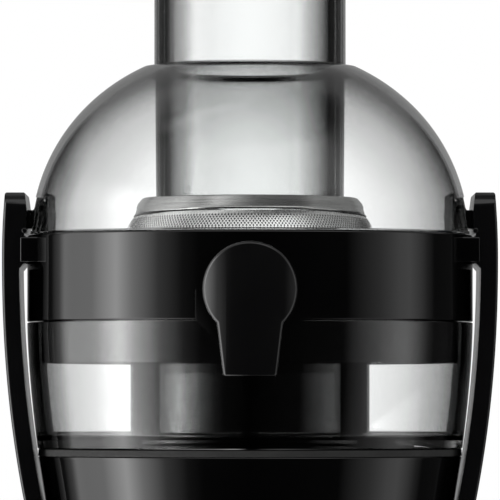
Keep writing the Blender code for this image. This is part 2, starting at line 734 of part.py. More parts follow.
def dome_points(start, end, count, inset=0.0):
    angles = [math.radians(start + (end - start) * i / count) for i in range(count + 1)]
    return [dome_point(a, inset) for a in angles]


def lid():
    """Domed clear lid with its feed tube, which reaches down into the sieve."""
    tube_bottom = 0.2120
    lip_r = BAND_R - WALL - GAP
    lip_low = BAND_TOP - 0.0040
    rest = BAND_TOP + GAP
    tube_in_r = TUBE_R - 0.0002
    loop = [(BORE_R, TUBE_TOP), (TUBE_R, TUBE_TOP), (TUBE_R, 0.2922), (TUBE_R + 0.0017, 0.2908)]
    loop += dome_points(62.0, 7.5, 8)
    loop += [(DOME_R, rest), (lip_r, rest), (lip_r, lip_low), (lip_r - 0.0020, lip_low)]
    loop += [(lip_r - 0.0020, rest + 0.0005)]
    loop += dome_points(9.0, 61.0, 6, CLEAR_WALL)
    loop += [(tube_in_r, 0.2860), (tube_in_r - 0.0008, tube_bottom), (BORE_R, tube_bottom)]
    piece = turned("lid", loop, clear_plastic("lid_clear"))
    for side, name in ((-1, "left"), (1, "right")):
        hook_pocket(piece, side, name)
    rib = box("tube_rib", (-BORE_R - 0.0008, -0.0010, 0.2300), (-BORE_R + 0.0014, 0.0010, TUBE_TOP - 0.004),
              None)
    boolean(piece, rib, "UNION")


def hook_pocket(piece, side, name):
    """A walled pocket in the side of the dome that a clamp's hook swings into."""
    wall = 0.0022
    xs = sorted((side * (HOOK_BACK - wall), side * 0.0900))
    block = box(name + "_hook_block", (xs[0], -HOOK_HALF_WIDTH - wall, BAND_TOP + 2 * GAP),
                (xs[1], HOOK_HALF_WIDTH + wall, HOOK_HIGH + wall), None)
    core = [(0, DOME_Z + DOME_HEIGHT - 0.01)] + dome_points(60.0, 3.0, 8, 0.0005) + [(0, DOME_Z)]
    boolean(block, turned(name + "_dome_core", core, None), "INTERSECT")
    boolean(piece, block, "UNION")
    xs = sorted((side * HOOK_BACK, side * 0.0900))
    boolean(piece, box(name + "_hook_room", (xs[0], -HOOK_HALF_WIDTH, HOOK_LOW),
                       (xs[1], HOOK_HALF_WIDTH, HOOK_HIGH), None))


PUSHER_R = BORE_R - 0.0006
PUSHER_LOW = 0.2150


def pusher():
    """Clear hollow plunger with a black cap that rests on the tube's rim."""
    inner = PUSHER_R - 0.0022
    top = TUBE_TOP - 0.0010
    loop = [(inner, top), (PUSHER_R, top), (PUSHER_R, PUSHER_LOW + 0.0010)]
    profile = [(0, PUSHER_LOW + 0.0024), (inner, PUSHER_LOW + 0.0024)] + loop
    profile += [(PUSHER_R - 0.0010, PUSHER_LOW), (0, PUSHER_LOW)]
    body = turned("pusher_body", profile, clear_plastic("pusher_clear"), PUSHER)
    groove = box("pusher_groove", (-PUSHER_R - 0.001, -0.0016, 0.20), (-PUSHER_R + 0.0012, 0.0016, 0.35),
                 None, PUSHER)
    boolean(body, groove)

    plug = inner - GAP
    rim = TUBE_TOP + GAP
    cap = [(0, PUSHER_TOP), (TUBE_R - 0.0040, PUSHER_TOP), (TUBE_R - 0.0010, PUSHER_TOP - 0.0010)]
    cap += [(TUBE_R + 0.0004, PUSHER_TOP - 0.0035), (TUBE_R + 0.0010, rim), (plug, rim)]
    cap += [(plug, rim - 0.0090), (plug - 0.0020, rim - 0.0090), (plug - 0.0020, PUSHER_TOP - 0.0028)]
    cap += [(0, PUSHER_TOP - 0.0028)]
    turned("pusher_cap", cap, matt_black("cap_black"), PUSHER)


# ---- clamps ------------------------------------------------------------------

def clamp_radius(z):
    """Distance of a clamp's outer face from the drive axis at height z."""
    if z >= CLAMP_BOW_Z:
        rise = (z - CLAMP_BOW_Z) / (CLAMP_TOP - CLAMP_BOW_Z)
        return CLAMP_R - 0.0010 * rise ** 2
    if z < CLAMP_KNEE_Z:
        return CLAMP_R - CLAMP_KNEE_DROP - CLAMP_FOOT_SLOPE * (CLAMP_KNEE_Z - z)
    drop = (CLAMP_BOW_Z - z) / (CLAMP_BOW_Z - CLAMP_KNEE_Z)
    return CLAMP_R - CLAMP_KNEE_DROP * drop ** CLAMP_POWER


def clamp_inside(z):
    """Distance of a clamp's inner face from the drive axis at height z."""
    if z >= CLAMP_KNEE_Z:
        share = (z - CLAMP_KNEE_Z) / (CLAMP_BOW_Z - CLAMP_KNEE_Z)
        return clamp_radius(z) - CLAMP_KNEE_THICK - (CLAMP_THICK - CLAMP_KNEE_THICK) * share
    share = (CLAMP_KNEE_Z - z) / (CLAMP_KNEE_Z - PIVOT_Z)
    return clamp_radius(z) - CLAMP_KNEE_THICK + (CLAMP_KNEE_THICK - CLAMP_FOOT_THICK) * share


def clamp_profile():
    """Section of a clamp: arm, rib against the band, and the hook over the lid."""
    foot = PIVOT_Z - 0.0060
    loop = [(0.0781, CLAMP_TOP), (clamp_radius(CLAMP_TOP) - 0.0008, CLAMP_TOP)]
    loop += [(clamp_radius(z), z) for z in heights(CLAMP_TOP - 0.0008, CLAMP_KNEE_Z, 8)]
    loop += [(clamp_radius(foot), foot), (clamp_inside(foot), foot)]
    loop += [(clamp_inside(z), z) for z in heights(CLAMP_KNEE_Z, 0.2180, 5)]
    rib = BAND_R + 0.0003
    loop += [(rib, BAND_TOP - 0.0100), (rib, BAND_TOP - 0.0003), (0.0796, BAND_TOP + 0.0006)]
    loop += [(0.0796, BAND_TOP + 0.0016), (0.0774, BAND_TOP + 0.0022)]
    loop += [(0.0712, BAND_TOP + 0.0025), (0.0708, BAND_TOP + 0.0030)]
    loop += [(0.0708, BAND_TOP + 0.0060), (0.0724, BAND_TOP + 0.0122)]
    loop += [(0.0740, BAND_TOP + 0.0122), (0.0755, BAND_TOP + 0.0087)]
    loop += [(0.0774, BAND_TOP + 0.0087)]
    return loop


def clamp(side, name, pivot):
    """Bowed arm whose hook reaches into the lid; it turns on a pin in the base."""
    top_half = CLAMP_HALF_WIDTH
    foot_half = CLAMP_FOOT_HALF_WIDTH
    corner = 0.0050
    low = PIVOT_Z - 0.0080
    shoulder = PIVOT_Z + 0.0330
    section = [(side * x, z) for x, z in clamp_profile()][::side]
    arm = outline(name, section, 2 * top_half, gloss_black(name + "_gloss_black"), pivot,
                  (0, 0, 0), FACE_FRONT)
    shape = [(-foot_half, low), (foot_half, low), (foot_half, PIVOT_Z + 0.0140)]
    shape += [(top_half + 0.0005, shoulder), (top_half + 0.0005, CLAMP_TOP - corner)]
    shape += arc((top_half - corner, CLAMP_TOP + 0.0005 - corner), corner, 10, 90, 3)
    shape += arc((corner - top_half, CLAMP_TOP + 0.0005 - corner), corner, 90, 170, 3)
    shape += [(-top_half - 0.0005, CLAMP_TOP - corner), (-top_half - 0.0005, shoulder)]
    shape += [(-foot_half, PIVOT_Z + 0.0140)]
    plate = outline(name + "_plate", shape, 0.060, None, pivot, (side * 0.0700, 0, 0),
                    (math.radians(90), 0, math.radians(90)))
    boolean(arm, plate, "INTERSECT")
    xs = sorted((side * 0.0690, side * 0.0774))
    beside = [((xs[0], y, BAND_TOP - 0.0001), (xs[1], y + 0.0200, CLAMP_TOP), 0)
              for y in (HOOK_NOSE, -HOOK_NOSE - 0.0200)]
    cutter = add(name + "_beside_hook", box_mesh(name + "_beside_hook", beside), None, pivot)
    boolean(arm, cutter)
    boss = rod(name + "_boss", 0.0052, -foot_half, foot_half, None, pivot,
               at=(side * PIVOT_X, 0, PIVOT_Z), turn=FACE_FRONT)
    xs = sorted((side * PIVOT_X, side * (PIVOT_X + 0.0070)))
    web = box(name + "_web", (xs[0], -foot_half + 0.001, PIVOT_Z - 0.0040),
              (xs[1], foot_half - 0.001, PIVOT_Z + 0.0045), None, pivot)
    boolean(arm, web, "UNION")
    boolean(arm, boss, "UNION")
    boolean(arm, rod(name + "_pin_bore", PIN_R + GAP, -0.02, 0.02, None, pivot,
                     at=(side * PIVOT_X, 0, PIVOT_Z), turn=FACE_FRONT))


def pivot_pin(side, name):
    rod(name + "_pivot_pin", PIN_R, -PIN_HALF, PIN_HALF, polished_steel(name + "_pin_steel"),
        at=(side * PIVOT_X, 0, PIVOT_Z), turn=FACE_FRONT)


# ---- safety switches and speed control ---------------------------------------

def interlock(side, name, parent):
    """Plunger that a closed clamp holds in, and the switch behind it."""
    tip = clamp_inside(PLUNGER_Z) - 0.0004
    stop = 0.0618
    profile = [(0, tip), (PLUNGER_R - 0.0008, tip), (PLUNGER_R, tip - 0.0008), (PLUNGER_R, stop)]
    profile += [(PLUNGER_R + 0.0012, stop), (PLUNGER_R + 0.0012, stop - 0.0025)]
    profile += [(PLUNGER_R, stop - 0.0025), (PLUNGER_R, 0.0550), (0, 0.0550)]
    turned(name + "_interlock_plunger", profile, matt_black(name + "_plunger_black"), parent,
           SMALL_ROUND, at=(0, 0, PLUNGER_Z), turn=(0, math.radians(90 * side), 0))
    low = PIVOT_Z + 0.0130 + 0.0022 + GAP
    xs = sorted((side * 0.0460, side * 0.0545))
    body = box(name + "_interlock_switch", (xs[0], -0.0100, low), (xs[1], 0.0100, low + 0.0140),
               material(name + "_switch_grey", (0.32, 0.32, 0.33), 0.5))
    bevel(body, 0.0008, 1)


def speed_switch():
    low = (-0.0140, -0.0560, KNOB_Z - 0.0130)
    high = (0.0140, -0.0380, KNOB_Z + 0.0130)
    body = box("speed_switch", low, high, material("switch_body_grey", (0.24, 0.24, 0.25), 0.5))
    bevel(body, 0.0010, 1)
    boolean(body, rod("switch_hole", 0.0034, 0.0480, 0.0600, None, at=(0, 0, KNOB_Z),
                      turn=FACE_FRONT))


def speed_knob():
    """Round knob with a raised grip bar, a pointer and a spindle."""
    back = KNOB_SEAT
    mid = KNOB_SEAT + 0.0060
    profile = [(0, mid), (KNOB_R - 0.0015, mid), (KNOB_R, mid - 0.0015), (KNOB_R, back), (0, back)]
    knob = turned("speed_knob", profile, gloss_black("knob_gloss_black"), KNOB, 32,
                  at=(0, 0, KNOB_Z), turn=FACE_FRONT)
    bar = box("knob_bar", (-0.0040, -KNOB_FRONT, KNOB_Z - 0.0150), (0.0040, -mid + 0.001, KNOB_Z + 0.0150),
              None, KNOB)
    bevel(bar, 0.0012, 2)
    boolean(knob, bar, "UNION")
    boolean(knob, rod("knob_bore", 0.0033, 0.0600, back + 0.0045, None, KNOB, at=(0, 0, KNOB_Z),
                      turn=FACE_FRONT))
    slot = box("pointer_slot", (-0.0011, -KNOB_FRONT - 0.002, KNOB_Z + 0.0040),
               (0.0011, -KNOB_FRONT + 0.0010, KNOB_Z + 0.0125), None, KNOB)
    boolean(knob, slot)
    box("knob_pointer", (-0.0008, -KNOB_FRONT, KNOB_Z + 0.0043),
        (0.0008, -KNOB_FRONT + 0.0007, KNOB_Z + 0.0122),
        material("pointer_grey", (0.75, 0.75, 0.76), 0.3), KNOB)
    rod("knob_spindle", 0.0030, 0.0485, back + 0.0042, polished_steel("spindle_steel"), KNOB,
        at=(0, 0, KNOB_Z), turn=FACE_FRONT)


# ---- build -------------------------------------------------------------------
clear_scene()
PARTS = collection("centrifugal_juicer")
CUTTERS = collection("cutters")
AXIS = empty("drive_axis", (0, AXIS_Y, 0))
ROTOR = empty("rotor_axis", (0, 0, 0), AXIS)
SPOUT = empty("spout_axis", (0, -SPOUT_BACK, SPOUT_Z), AXIS)
KNOB = empty("knob_axis", (0, -KNOB_SEAT, KNOB_Z), AXIS)
PUSHER = empty("pusher_axis", (0, 0, TUBE_TOP), AXIS)

base_shell()
base_plate()
base_screws()
feet()
seat_ring()
cord_gland()
motor_stator()
field_coils()
bracket("lower_bracket", LOWER_BRACKET, LOWER_BRACKET - 0.0040, LOWER_BRACKET + 0.0030)
bracket("upper_bracket", UPPER_BRACKET, UPPER_BRACKET, UPPER_BRACKET + 0.0070)
bearings()
motor_bolts()
motor_mount()
brush_gear()
rotor()
shaft_seal()
sieve_hub()
grater_disc()
sieve_mesh()
sieve_rim()
pulp_container()
juice_collector()
spout()
spout_seal()
lid()
pusher()
for SIDE, NAME in ((-1, "left"), (1, "right")):
    HINGE = empty(NAME + "_clamp_axis", (SIDE * PIVOT_X, 0, PIVOT_Z), AXIS)
    PRESS = empty(NAME + "_plunger_axis", (SIDE * WAIST_R, 0, PLUNGER_Z), AXIS)
    clamp(SIDE, NAME + "_clamp", HINGE)
    pivot_pin(SIDE, NAME)
    interlock(SIDE, NAME, PRESS)
speed_switch()
speed_knob()
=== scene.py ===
"""Looks of a compact centrifugal juicer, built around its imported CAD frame.

Metres, +Z up, front towards -Y. Every turned piece stands on the drive axis, which the frame
places at AXIS_Y. Radii and heights below are those of the CAD part, or are read from it.
"""

import json
import math
from contextlib import contextmanager

import bmesh
import bpy
from mathutils import Matrix, Vector


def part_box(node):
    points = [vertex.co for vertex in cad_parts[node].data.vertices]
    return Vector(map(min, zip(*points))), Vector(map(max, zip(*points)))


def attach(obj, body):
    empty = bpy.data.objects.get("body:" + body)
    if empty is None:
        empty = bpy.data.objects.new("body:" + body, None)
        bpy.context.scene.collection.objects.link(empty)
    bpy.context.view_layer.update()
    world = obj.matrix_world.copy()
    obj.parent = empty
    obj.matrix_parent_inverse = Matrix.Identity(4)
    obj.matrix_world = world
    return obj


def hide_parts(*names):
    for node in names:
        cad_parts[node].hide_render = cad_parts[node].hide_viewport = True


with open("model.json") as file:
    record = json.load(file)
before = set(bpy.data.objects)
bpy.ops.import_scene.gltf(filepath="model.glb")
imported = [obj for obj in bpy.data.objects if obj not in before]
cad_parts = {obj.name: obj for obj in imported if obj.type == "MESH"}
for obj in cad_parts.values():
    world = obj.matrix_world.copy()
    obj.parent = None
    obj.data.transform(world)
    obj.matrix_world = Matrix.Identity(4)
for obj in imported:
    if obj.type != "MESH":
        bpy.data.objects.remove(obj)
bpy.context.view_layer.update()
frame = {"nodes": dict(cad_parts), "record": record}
NODES = frame["nodes"]


def low(node):
    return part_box(node)[0]


def high(node):
    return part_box(node)[1]


# ---- sizes -------------------------------------------------------------------
# Names ending in R are radii from the drive axis, in Z heights above the floor.
AXIS_Y = (low("pulp_container").y + high("pulp_container").y) / 2
BAND_R = 0.0779
BAND_TOP = high("juice_collector").z
BAND_BOTTOM = 0.1998
TUBE_TOP = high("lid").z
CUP_BOTTOM = low("pulp_container").z
TOWER_TOP = high("base_shell").z
SIEVE_TOP = high("sieve_rim").z
PUSHER_TOP = high("pusher_cap").z
PUSHER_LOW = low("pusher_body").z
CLAMP_TOP = high("left_clamp").z
CLAMP_R = high("right_clamp").x
BASE_BOTTOM = low("base_shell").z
WAIST_Z = 0.0520
WAIST_R = 0.0610
FOOT_R = 0.0670
DECK_Z = 0.1530
DECK_R = 0.0740
CUP_FOOT_R = 0.0742
TUBE_R = 0.0335
BORE_R = 0.0303
TOWER_R = 0.0378
COLUMN_FOOT_R = 0.0425
COLUMN_TOP_R = 0.0411
TOWER_BORE_R = 0.0091     # opening for the drive coupling
WALL = 0.0026             # black mouldings
CLEAR_WALL = 0.0028
CUP_WALL = 0.0037
GAP = 0.0003              # between pieces that rest on each other
RUN = 0.0010              # around the turning sieve
BEYOND = 0.09             # reach of cutters that pass every outer wall
DOME_Z = 0.2257
DOME_R = 0.0769
DOME_HEIGHT = 0.0710
DOME_POWER = 2.12
HOOK_BACK = 0.0702
HOOK_LOW = 0.2315
HOOK_HIGH = 0.2435
HOOK_HALF_WIDTH = 0.0104
HOOK_NOSE = 0.0086        # half width of a clamp's hook
PIVOT_X = 0.0610
PIVOT_Z = 0.1000
PIN_R = 0.0020
SPOUT_Z = 0.2097
SPOUT_HEAD_R = 0.0160
SPOUT_FRONT = AXIS_Y - low("spout").y
SPOUT_BACK = 0.0808
SPOUT_BOTTOM_Z = low("spout").z
STUB_R = 0.0080
KNOB_Z = WAIST_Z
KNOB_R = 0.0180
KNOB_SEAT = 0.0640
KNOB_FRONT = 0.0770
PLATE_R = 0.0636
GLAND_Z = (low("cord_gland").z + high("cord_gland").z) / 2
PLUNGER_Z = 0.1220
PLUNGER_R = 0.0024
SIEVE_FLOOR = 0.2052
SIEVE_FOOT_R = 0.0540
SIEVE_MESH_TOP = 0.2386
SIEVE_NECK_R = 0.0408
SIEVE_LIP_R = 0.0377
GRATER_R = 0.0450
SKIRT_BOTTOM = 0.1853
TROUGH_FLOOR = 0.2012
INNER_WALL_TOP = 0.2080
TONGUE_BOTTOM = low("juice_collector").z
BOW_Z = 0.2220            # where a clamp is widest
KNEE_Z = 0.1376           # where its straight foot begins
KNEE_DROP = 0.0077
CLAMP_FACE = 0.0774       # inner face of a clamp beside its hook
FINE = 224                # facets of the large turned pieces
COARSE = 64               # facets of the small ones
ON_AXIS = 1e-7            # a radius below this is a point on the axis
SMOOTH_ANGLE = math.radians(32)   # edges sharper than this stay sharp
AXIS = Matrix.Translation((0, AXIS_Y, 0))


# ---- mesh helpers --------------------------------------------------------------

def rounded(points, steps=4, closed=True):
    """Round the corners of a polygon; a point is (x, y) or (x, y, corner radius)."""
    out = []
    count = len(points)
    for i, point in enumerate(points):
        inside = closed or 0 < i < count - 1
        if len(point) < 3 or not inside:
            out.append((point[0], point[1]))
            continue
        here = Vector(point[:2])
        before = Vector(points[i - 1][:2]) - here
        after = Vector(points[(i + 1) % count][:2]) - here
        half = before.angle(after) / 2
        reach = min(point[2] / math.tan(half), 0.48 * before.length, 0.48 * after.length)
        radius = reach * math.tan(half)
        before.normalize()
        after.normalize()
        centre = here + (before + after).normalized() * (radius / math.sin(half))
        start = here + before * reach - centre
        end = here + after * reach - centre
        a0 = math.atan2(start.y, start.x)
        sweep = math.atan2(end.y, end.x) - a0
        sweep = (sweep + math.pi) % (2 * math.pi) - math.pi
        for k in range(steps + 1):
            a = a0 + sweep * k / steps
            out.append((centre.x + radius * math.cos(a), centre.y + radius * math.sin(a)))
    return out


def arc(centre, radius, start, end, count):
    angles = [math.radians(start + (end - start) * i / count) for i in range(count + 1)]
    return [(centre[0] + radius * math.cos(a), centre[1] + radius * math.sin(a)) for a in angles]


def levels(start, end, count):
    return [start + (end - start) * i / count for i in range(count + 1)]


def oblong(x0, x1, y0, y1, radius, steps=4):
    """A rectangle with rounded corners."""
    return rounded([(x0, y0, radius), (x1, y0, radius), (x1, y1, radius), (x0, y1, radius)], steps)


def shaded(mesh):
    mesh.shade_smooth()
    mesh.set_sharp_from_angle(angle=SMOOTH_ANGLE)


def axis_reach(point):
    """Distance of a point from the drive axis."""
    return math.hypot(point.x, point.y - AXIS_Y)


@contextmanager
def editing(mesh):
    """A bmesh of a mesh, written back at the end."""
    bm = bmesh.new()
    bm.from_mesh(mesh)
    yield bm
    bm.to_mesh(mesh)
    bm.free()


def to_object(name, mesh):
    obj = bpy.data.objects.new(name, mesh)
    bpy.context.scene.collection.objects.link(obj)
    return obj


def placed(name, mesh, turn):
    """An object from a mesh, moved by `turn`, a 4x4 matrix measured from the drive axis."""
    mesh.transform(AXIS @ (turn or Matrix.Identity(4)))
    with editing(mesh) as bm:
        bmesh.ops.recalc_face_normals(bm, faces=bm.faces)
    shaded(mesh)
    return to_object(name, mesh)


def held(profile, margin=0.0004, longest=0.0030):
    """Add points close to both ends of every long run, so that its shading stays straight."""
    closed = profile[0][0] > ON_AXIS
    out = []
    for i, point in enumerate(profile):
        out.append(point)
        if i == len(profile) - 1 and not closed:
            break
        after = profile[(i + 1) % len(profile)]
        length = math.dist(point, after)
        if length > longest:
            for share in (margin / length, 1 - margin / length):
                out.append(tuple(a + (b - a) * share for a, b in zip(point, after)))
    return out


def lathe(name, profile, steps=FINE, turn=None):
    """Turn a (radius, height) profile about the drive axis, then move it by `turn`."""
    verts, faces, rings = [], [], []
    profile = held([tuple(point[:2]) for point in profile])
    for r, z in profile:
        if r < ON_AXIS:
            rings.append([len(verts)])
            verts.append((0, 0, z))
        else:
            rings.append(list(range(len(verts), len(verts) + steps)))
            for k in range(steps):
                a = 2 * math.pi * k / steps
                verts.append((r * math.cos(a), r * math.sin(a), z))
    pairs = list(zip(rings, rings[1:]))
    if profile[0][0] > ON_AXIS:
        pairs.append((rings[-1], rings[0]))
    for a, b in pairs:
        for k in range(steps):
            m = (k + 1) % steps
            if len(a) == 1 and len(b) == 1:
                continue
            if len(a) == 1:
                faces.append((a[0], b[k], b[m]))
            elif len(b) == 1:
                faces.append((a[k], b[0], a[m]))
            else:
                faces.append((a[k], b[k], b[m], a[m]))
    mesh = bpy.data.meshes.new(name)
    mesh.from_pydata(verts, [], faces)
    return placed(name, mesh, turn)


def turned(node, profile, corner_steps, steps=FINE, turn=None):
    """The fine piece for a turned CAD node, with the corners of its profile rounded."""
    closed = profile[0][0] > ON_AXIS
    return lathe(node + "_fine", rounded(profile, corner_steps, closed), steps, turn)


def facing(direction, offset=(0, 0, 0)):
    """Turns local +Z to front, back, left or right, then moves by `offset` from the axis."""
    turns = {"front": Matrix.Rotation(math.radians(90), 4, "X"),
             "back": Matrix.Rotation(math.radians(-90), 4, "X"),
             "right": Matrix.Rotation(math.radians(90), 4, "Y"),
             "left": Matrix.Rotation(math.radians(-90), 4, "Y")}
    return Matrix.Translation(offset) @ turns[direction]


def ahead(x, z):
    """Turns local +Z to the front, at x beside the drive axis and height z."""
    return facing("front", (x, 0, z))


def outer_side(side):
    """The direction that faces outward on side -1 or 1."""
    return "right" if side > 0 else "left"


def over(node):
    """Moves a piece from the drive axis to the middle of a CAD node, level with the floor."""
    middle = (low(node) + high(node)) / 2
    return Matrix.Translation((middle.x, middle.y - AXIS_Y, 0))


def prism(name, outline, near, far, turn=None):
    """A closed outline in local XY, filled between local heights near and far."""
    mesh = bpy.data.meshes.new(name)
    with editing(mesh) as bm:
        bottom = [bm.verts.new((x, y, near)) for x, y in outline]
        top = [bm.verts.new((x, y, far)) for x, y in outline]
        bm.faces.new(bottom)
        bm.faces.new(top)
        count = len(outline)
        for i in range(count):
            j = (i + 1) % count
            bm.faces.new((bottom[i], bottom[j], top[j], top[i]))
    return placed(name, mesh, turn)


def block(name, corner, opposite):
    """A box between two corners measured from the foot of the drive axis."""
    xs, ys, zs = [sorted(pair) for pair in zip(corner, opposite)]
    outline = [(xs[0], ys[0]), (xs[1], ys[0]), (xs[1], ys[1]), (xs[0], ys[1])]
    return prism(name, outline, zs[0], zs[1])


def baked(obj):
    """Replace an object's mesh by its evaluated one."""
    graph = bpy.context.evaluated_depsgraph_get()
    mesh = bpy.data.meshes.new_from_object(obj.evaluated_get(graph))
    obj.modifiers.clear()
    old = obj.data
    obj.data = mesh
    bpy.data.meshes.remove(old)
    shaded(mesh)
    return obj


def combine(obj, *others, operation="DIFFERENCE"):
    """Cut others from obj, join them to it, or keep what they share."""
    for other in others:
        mod = obj.modifiers.new("cut", "BOOLEAN")
        mod.operation = operation
        mod.object = other
        mod.solver = "EXACT"
        baked(obj)
        mesh = other.data
        bpy.data.objects.remove(other)
        bpy.data.meshes.remove(mesh)
    return obj


def softened(obj, width, segments=3, angle=40):
    """Bevel the edges that turn by more than `angle` degrees."""
    mod = obj.modifiers.new("edges", "BEVEL")
    mod.width = width
    mod.segments = segments
    mod.limit_method = "ANGLE"
    mod.angle_limit = math.radians(angle)
    return baked(obj)


def rod(name, radius, near, far, turn=None, steps=COARSE, edge=0.0):
    """A solid cylinder between local heights near and far; `edge` rounds its rims."""
    profile = [(0, far), (radius, far, edge), (radius, near, edge), (0, near)]
    return lathe(name, rounded(profile, 3, closed=False), steps, turn)


# ---- material helpers ----------------------------------------------------------

BY_SLOT = {}              # the finish made for each material slot


def new_material(name):
    """A material, its node tree, its shader, and the place on the object as a vector."""
    mat = bpy.data.materials.new(name)
    BY_SLOT[name] = mat
    mat.use_nodes = True
    tree = mat.node_tree
    shader = tree.nodes["Principled BSDF"]
    place = tree.nodes.new("ShaderNodeTexCoord")
    return mat, tree, shader, place.outputs["Object"]


def added(tree, kind, **values):
    """A new shader node with some inputs set; in their names, underscores stand for spaces."""
    node = tree.nodes.new("ShaderNode" + kind)
    for name, value in values.items():
        node.inputs[name.replace("_", " ")].default_value = value
    return node


def paint(tree, shader, colour, roughness):
    """Link a colour and a roughness into the shader."""
    tree.links.new(colour, shader.inputs["Base Color"])
    tree.links.new(roughness, shader.inputs["Roughness"])


def noise(tree, where, scale, detail=4.0, stretch=None, rough=0.55):
    if stretch:
        mapping = added(tree, "Mapping", Scale=stretch)
        tree.links.new(where, mapping.inputs["Vector"])
        where = mapping.outputs["Vector"]
    node = added(tree, "TexNoise", Scale=scale, Detail=detail, Roughness=rough)
    tree.links.new(where, node.inputs["Vector"])
    return node.outputs["Fac"]


def spread(tree, value, start, end, low_out=0.0, high_out=1.0, soft=False):
    """Map start..end to low_out..high_out, along a soft step if asked."""
    node = added(tree, "MapRange", From_Min=start, From_Max=end, To_Min=low_out, To_Max=high_out)
    if soft:
        node.interpolation_type = "SMOOTHSTEP"
    tree.links.new(value, node.inputs["Value"])
    return node.outputs["Result"]


def ramp(tree, value, stops):
    """Colour by value, from (position, colour) pairs."""
    node = tree.nodes.new("ShaderNodeValToRGB")
    first, last = node.color_ramp.elements
    first.position, last.position = stops[0][0], stops[-1][0]
    first.color, last.color = (*stops[0][1], 1), (*stops[-1][1], 1)
    for position, colour in stops[1:-1]:
        node.color_ramp.elements.new(position).color = (*colour, 1)
    tree.links.new(value, node.inputs["Fac"])
    return node.outputs["Color"]


def maths(tree, operation, a, b):
    """A math node; each operand is a number or a socket."""
    node = tree.nodes.new("ShaderNodeMath")
    node.operation = operation
    for socket, value in zip(node.inputs, (a, b)):
        if isinstance(value, (int, float)):
            socket.default_value = value
        else:
            tree.links.new(value, socket)
    return node.outputs["Value"]


def mixed(tree, share, first, second):
    """Blend two values; `second` is a number or a socket."""
    node = tree.nodes.new("ShaderNodeMix")
    tree.links.new(share, node.inputs[0])
    tree.links.new(first, node.inputs[2])
    if isinstance(second, float):
        node.inputs[3].default_value = second
    else:
        tree.links.new(second, node.inputs[3])
    return node.outputs[0]


def product(tree, first, second):
    """Multiply two colours."""
    node = tree.nodes.new("ShaderNodeMix")
    node.data_type = "RGBA"
    node.blend_type = "MULTIPLY"
    node.inputs[0].default_value = 1.0
    tree.links.new(first, node.inputs[6])
    tree.links.new(second, node.inputs[7])
    return node.outputs[2]


def stripes(tree, where, scale, distortion):
    """Level lines, as a wave texture."""
    node = added(tree, "TexWave", Scale=scale, Distortion=distortion)
    node.bands_direction = "Z"
    tree.links.new(where, node.inputs["Vector"])
    return node.outputs["Fac"]


def bump(tree, shader, height, strength, distance):
    node = added(tree, "Bump", Strength=strength, Distance=distance)
    tree.links.new(height, node.inputs["Height"])
    tree.links.new(node.outputs["Normal"], shader.inputs["Normal"])


def moulded(name, dark, light, rough, grain=900.0, grain_depth=0.00002, strength=0.12):
    """Injection moulded plastic: faint tone and gloss changes over a fine surface grain."""
    mat, tree, shader, where = new_material(name)
    tone = noise(tree, where, 38.0, 5.0)
    wear = noise(tree, where, 160.0, 8.0, rough=0.7)
    paint(tree, shader, ramp(tree, tone, [(0.3, dark), (0.7, light)]),
          spread(tree, wear, 0.35, 0.72, *rough))
    bump(tree, shader, noise(tree, where, grain, 3.0), strength, grain_depth)
    return mat


# Painted shade on clear plastic, by how far its surface turns away from view: its edges are painted
# darker.
EDGE_PAINTED_SHADE = [(0.0, 0.975), (0.06, 0.95), (0.19, 0.84), (0.30, 0.68), (0.38, 0.60), (0.487, 0.52),
             (0.54, 0.46), (0.64, 0.36), (0.73, 0.27), (0.83, 0.20), (1.0, 0.15)]


def clear(name, tint, rough, index=1.49, painted_top_shade=None):
    """Clear moulded plastic with faint handling marks, a slight moulding waviness, and painted shade
    that darkens its edges.

    The shade argument is (low, high, depth): heights between which painted shade darkens its slanting
    parts, more towards the top.
    """
    tree, shader, where = new_material(name)[1:]
    shader.inputs["Transmission Weight"].default_value = 1.0
    shader.inputs["IOR"].default_value = index
    cloud = noise(tree, where, 20.0, 3.0)
    light = tuple(min(1.0, c + 0.012) for c in tint)
    colour = ramp(tree, cloud, [(0.3, tint), (0.7, light)])
    # painted shade: the base colour grows darker where the surface turns away from view
    facing_away = added(tree, "LayerWeight", Blend=0.5).outputs["Facing"]
    colour = product(tree, colour, ramp(tree, facing_away, [(p, (v, v, v)) for p, v in EDGE_PAINTED_SHADE]))
    # painted shade: slanting parts are painted darker towards the top, between the given heights
    if painted_top_shade:
        axes = tree.nodes.new("ShaderNodeSeparateXYZ")
        tree.links.new(where, axes.inputs["Vector"])
        climb = spread(tree, axes.outputs["Z"], painted_top_shade[0], painted_top_shade[1], 0.0, painted_top_shade[2])
        slant = spread(tree, facing_away, 0.45, 0.78, soft=True)
        shade_share = maths(tree, "MULTIPLY", climb, slant)
        colour = product(tree, colour, ramp(tree, shade_share, [(0.0, (1, 1, 1)), (1.0, (0, 0, 0))]))
    marks = noise(tree, where, 240.0, 6.0, (1.0, 1.0, 0.25), 0.7)
    paint(tree, shader, colour, spread(tree, marks, 0.55, 0.85, *rough))
    bump(tree, shader, noise(tree, where, 30.0, 2.0), 0.02, 0.0002)


def metal(name, dark, light, rough, stretch, scale):
    """Bare metal with fine streaks drawn along one direction."""
    tree, shader, where = new_material(name)[1:]
    shader.inputs["Metallic"].default_value = 1.0
    grain = noise(tree, where, scale, 6.0, stretch, 0.65)
    paint(tree, shader, ramp(tree, grain, [(0.32, dark), (0.68, light)]),
          spread(tree, grain, 0.3, 0.75, *rough))
    bump(tree, shader, grain, 0.15, 0.00002)


def rubber(name):
    """Soft black rubber with a fine matt grain."""
    tree, shader, where = new_material(name)[1:]
    grain = noise(tree, where, 1400.0, 6.0, rough=0.75)
    tone = ramp(tree, noise(tree, where, 90.0),
                [(0.3, (0.013, 0.013, 0.013)), (0.7, (0.024, 0.024, 0.023))])
    paint(tree, shader, tone, spread(tree, grain, 0.3, 0.7, 0.6, 0.85))
    bump(tree, shader, grain, 0.35, 0.00008)


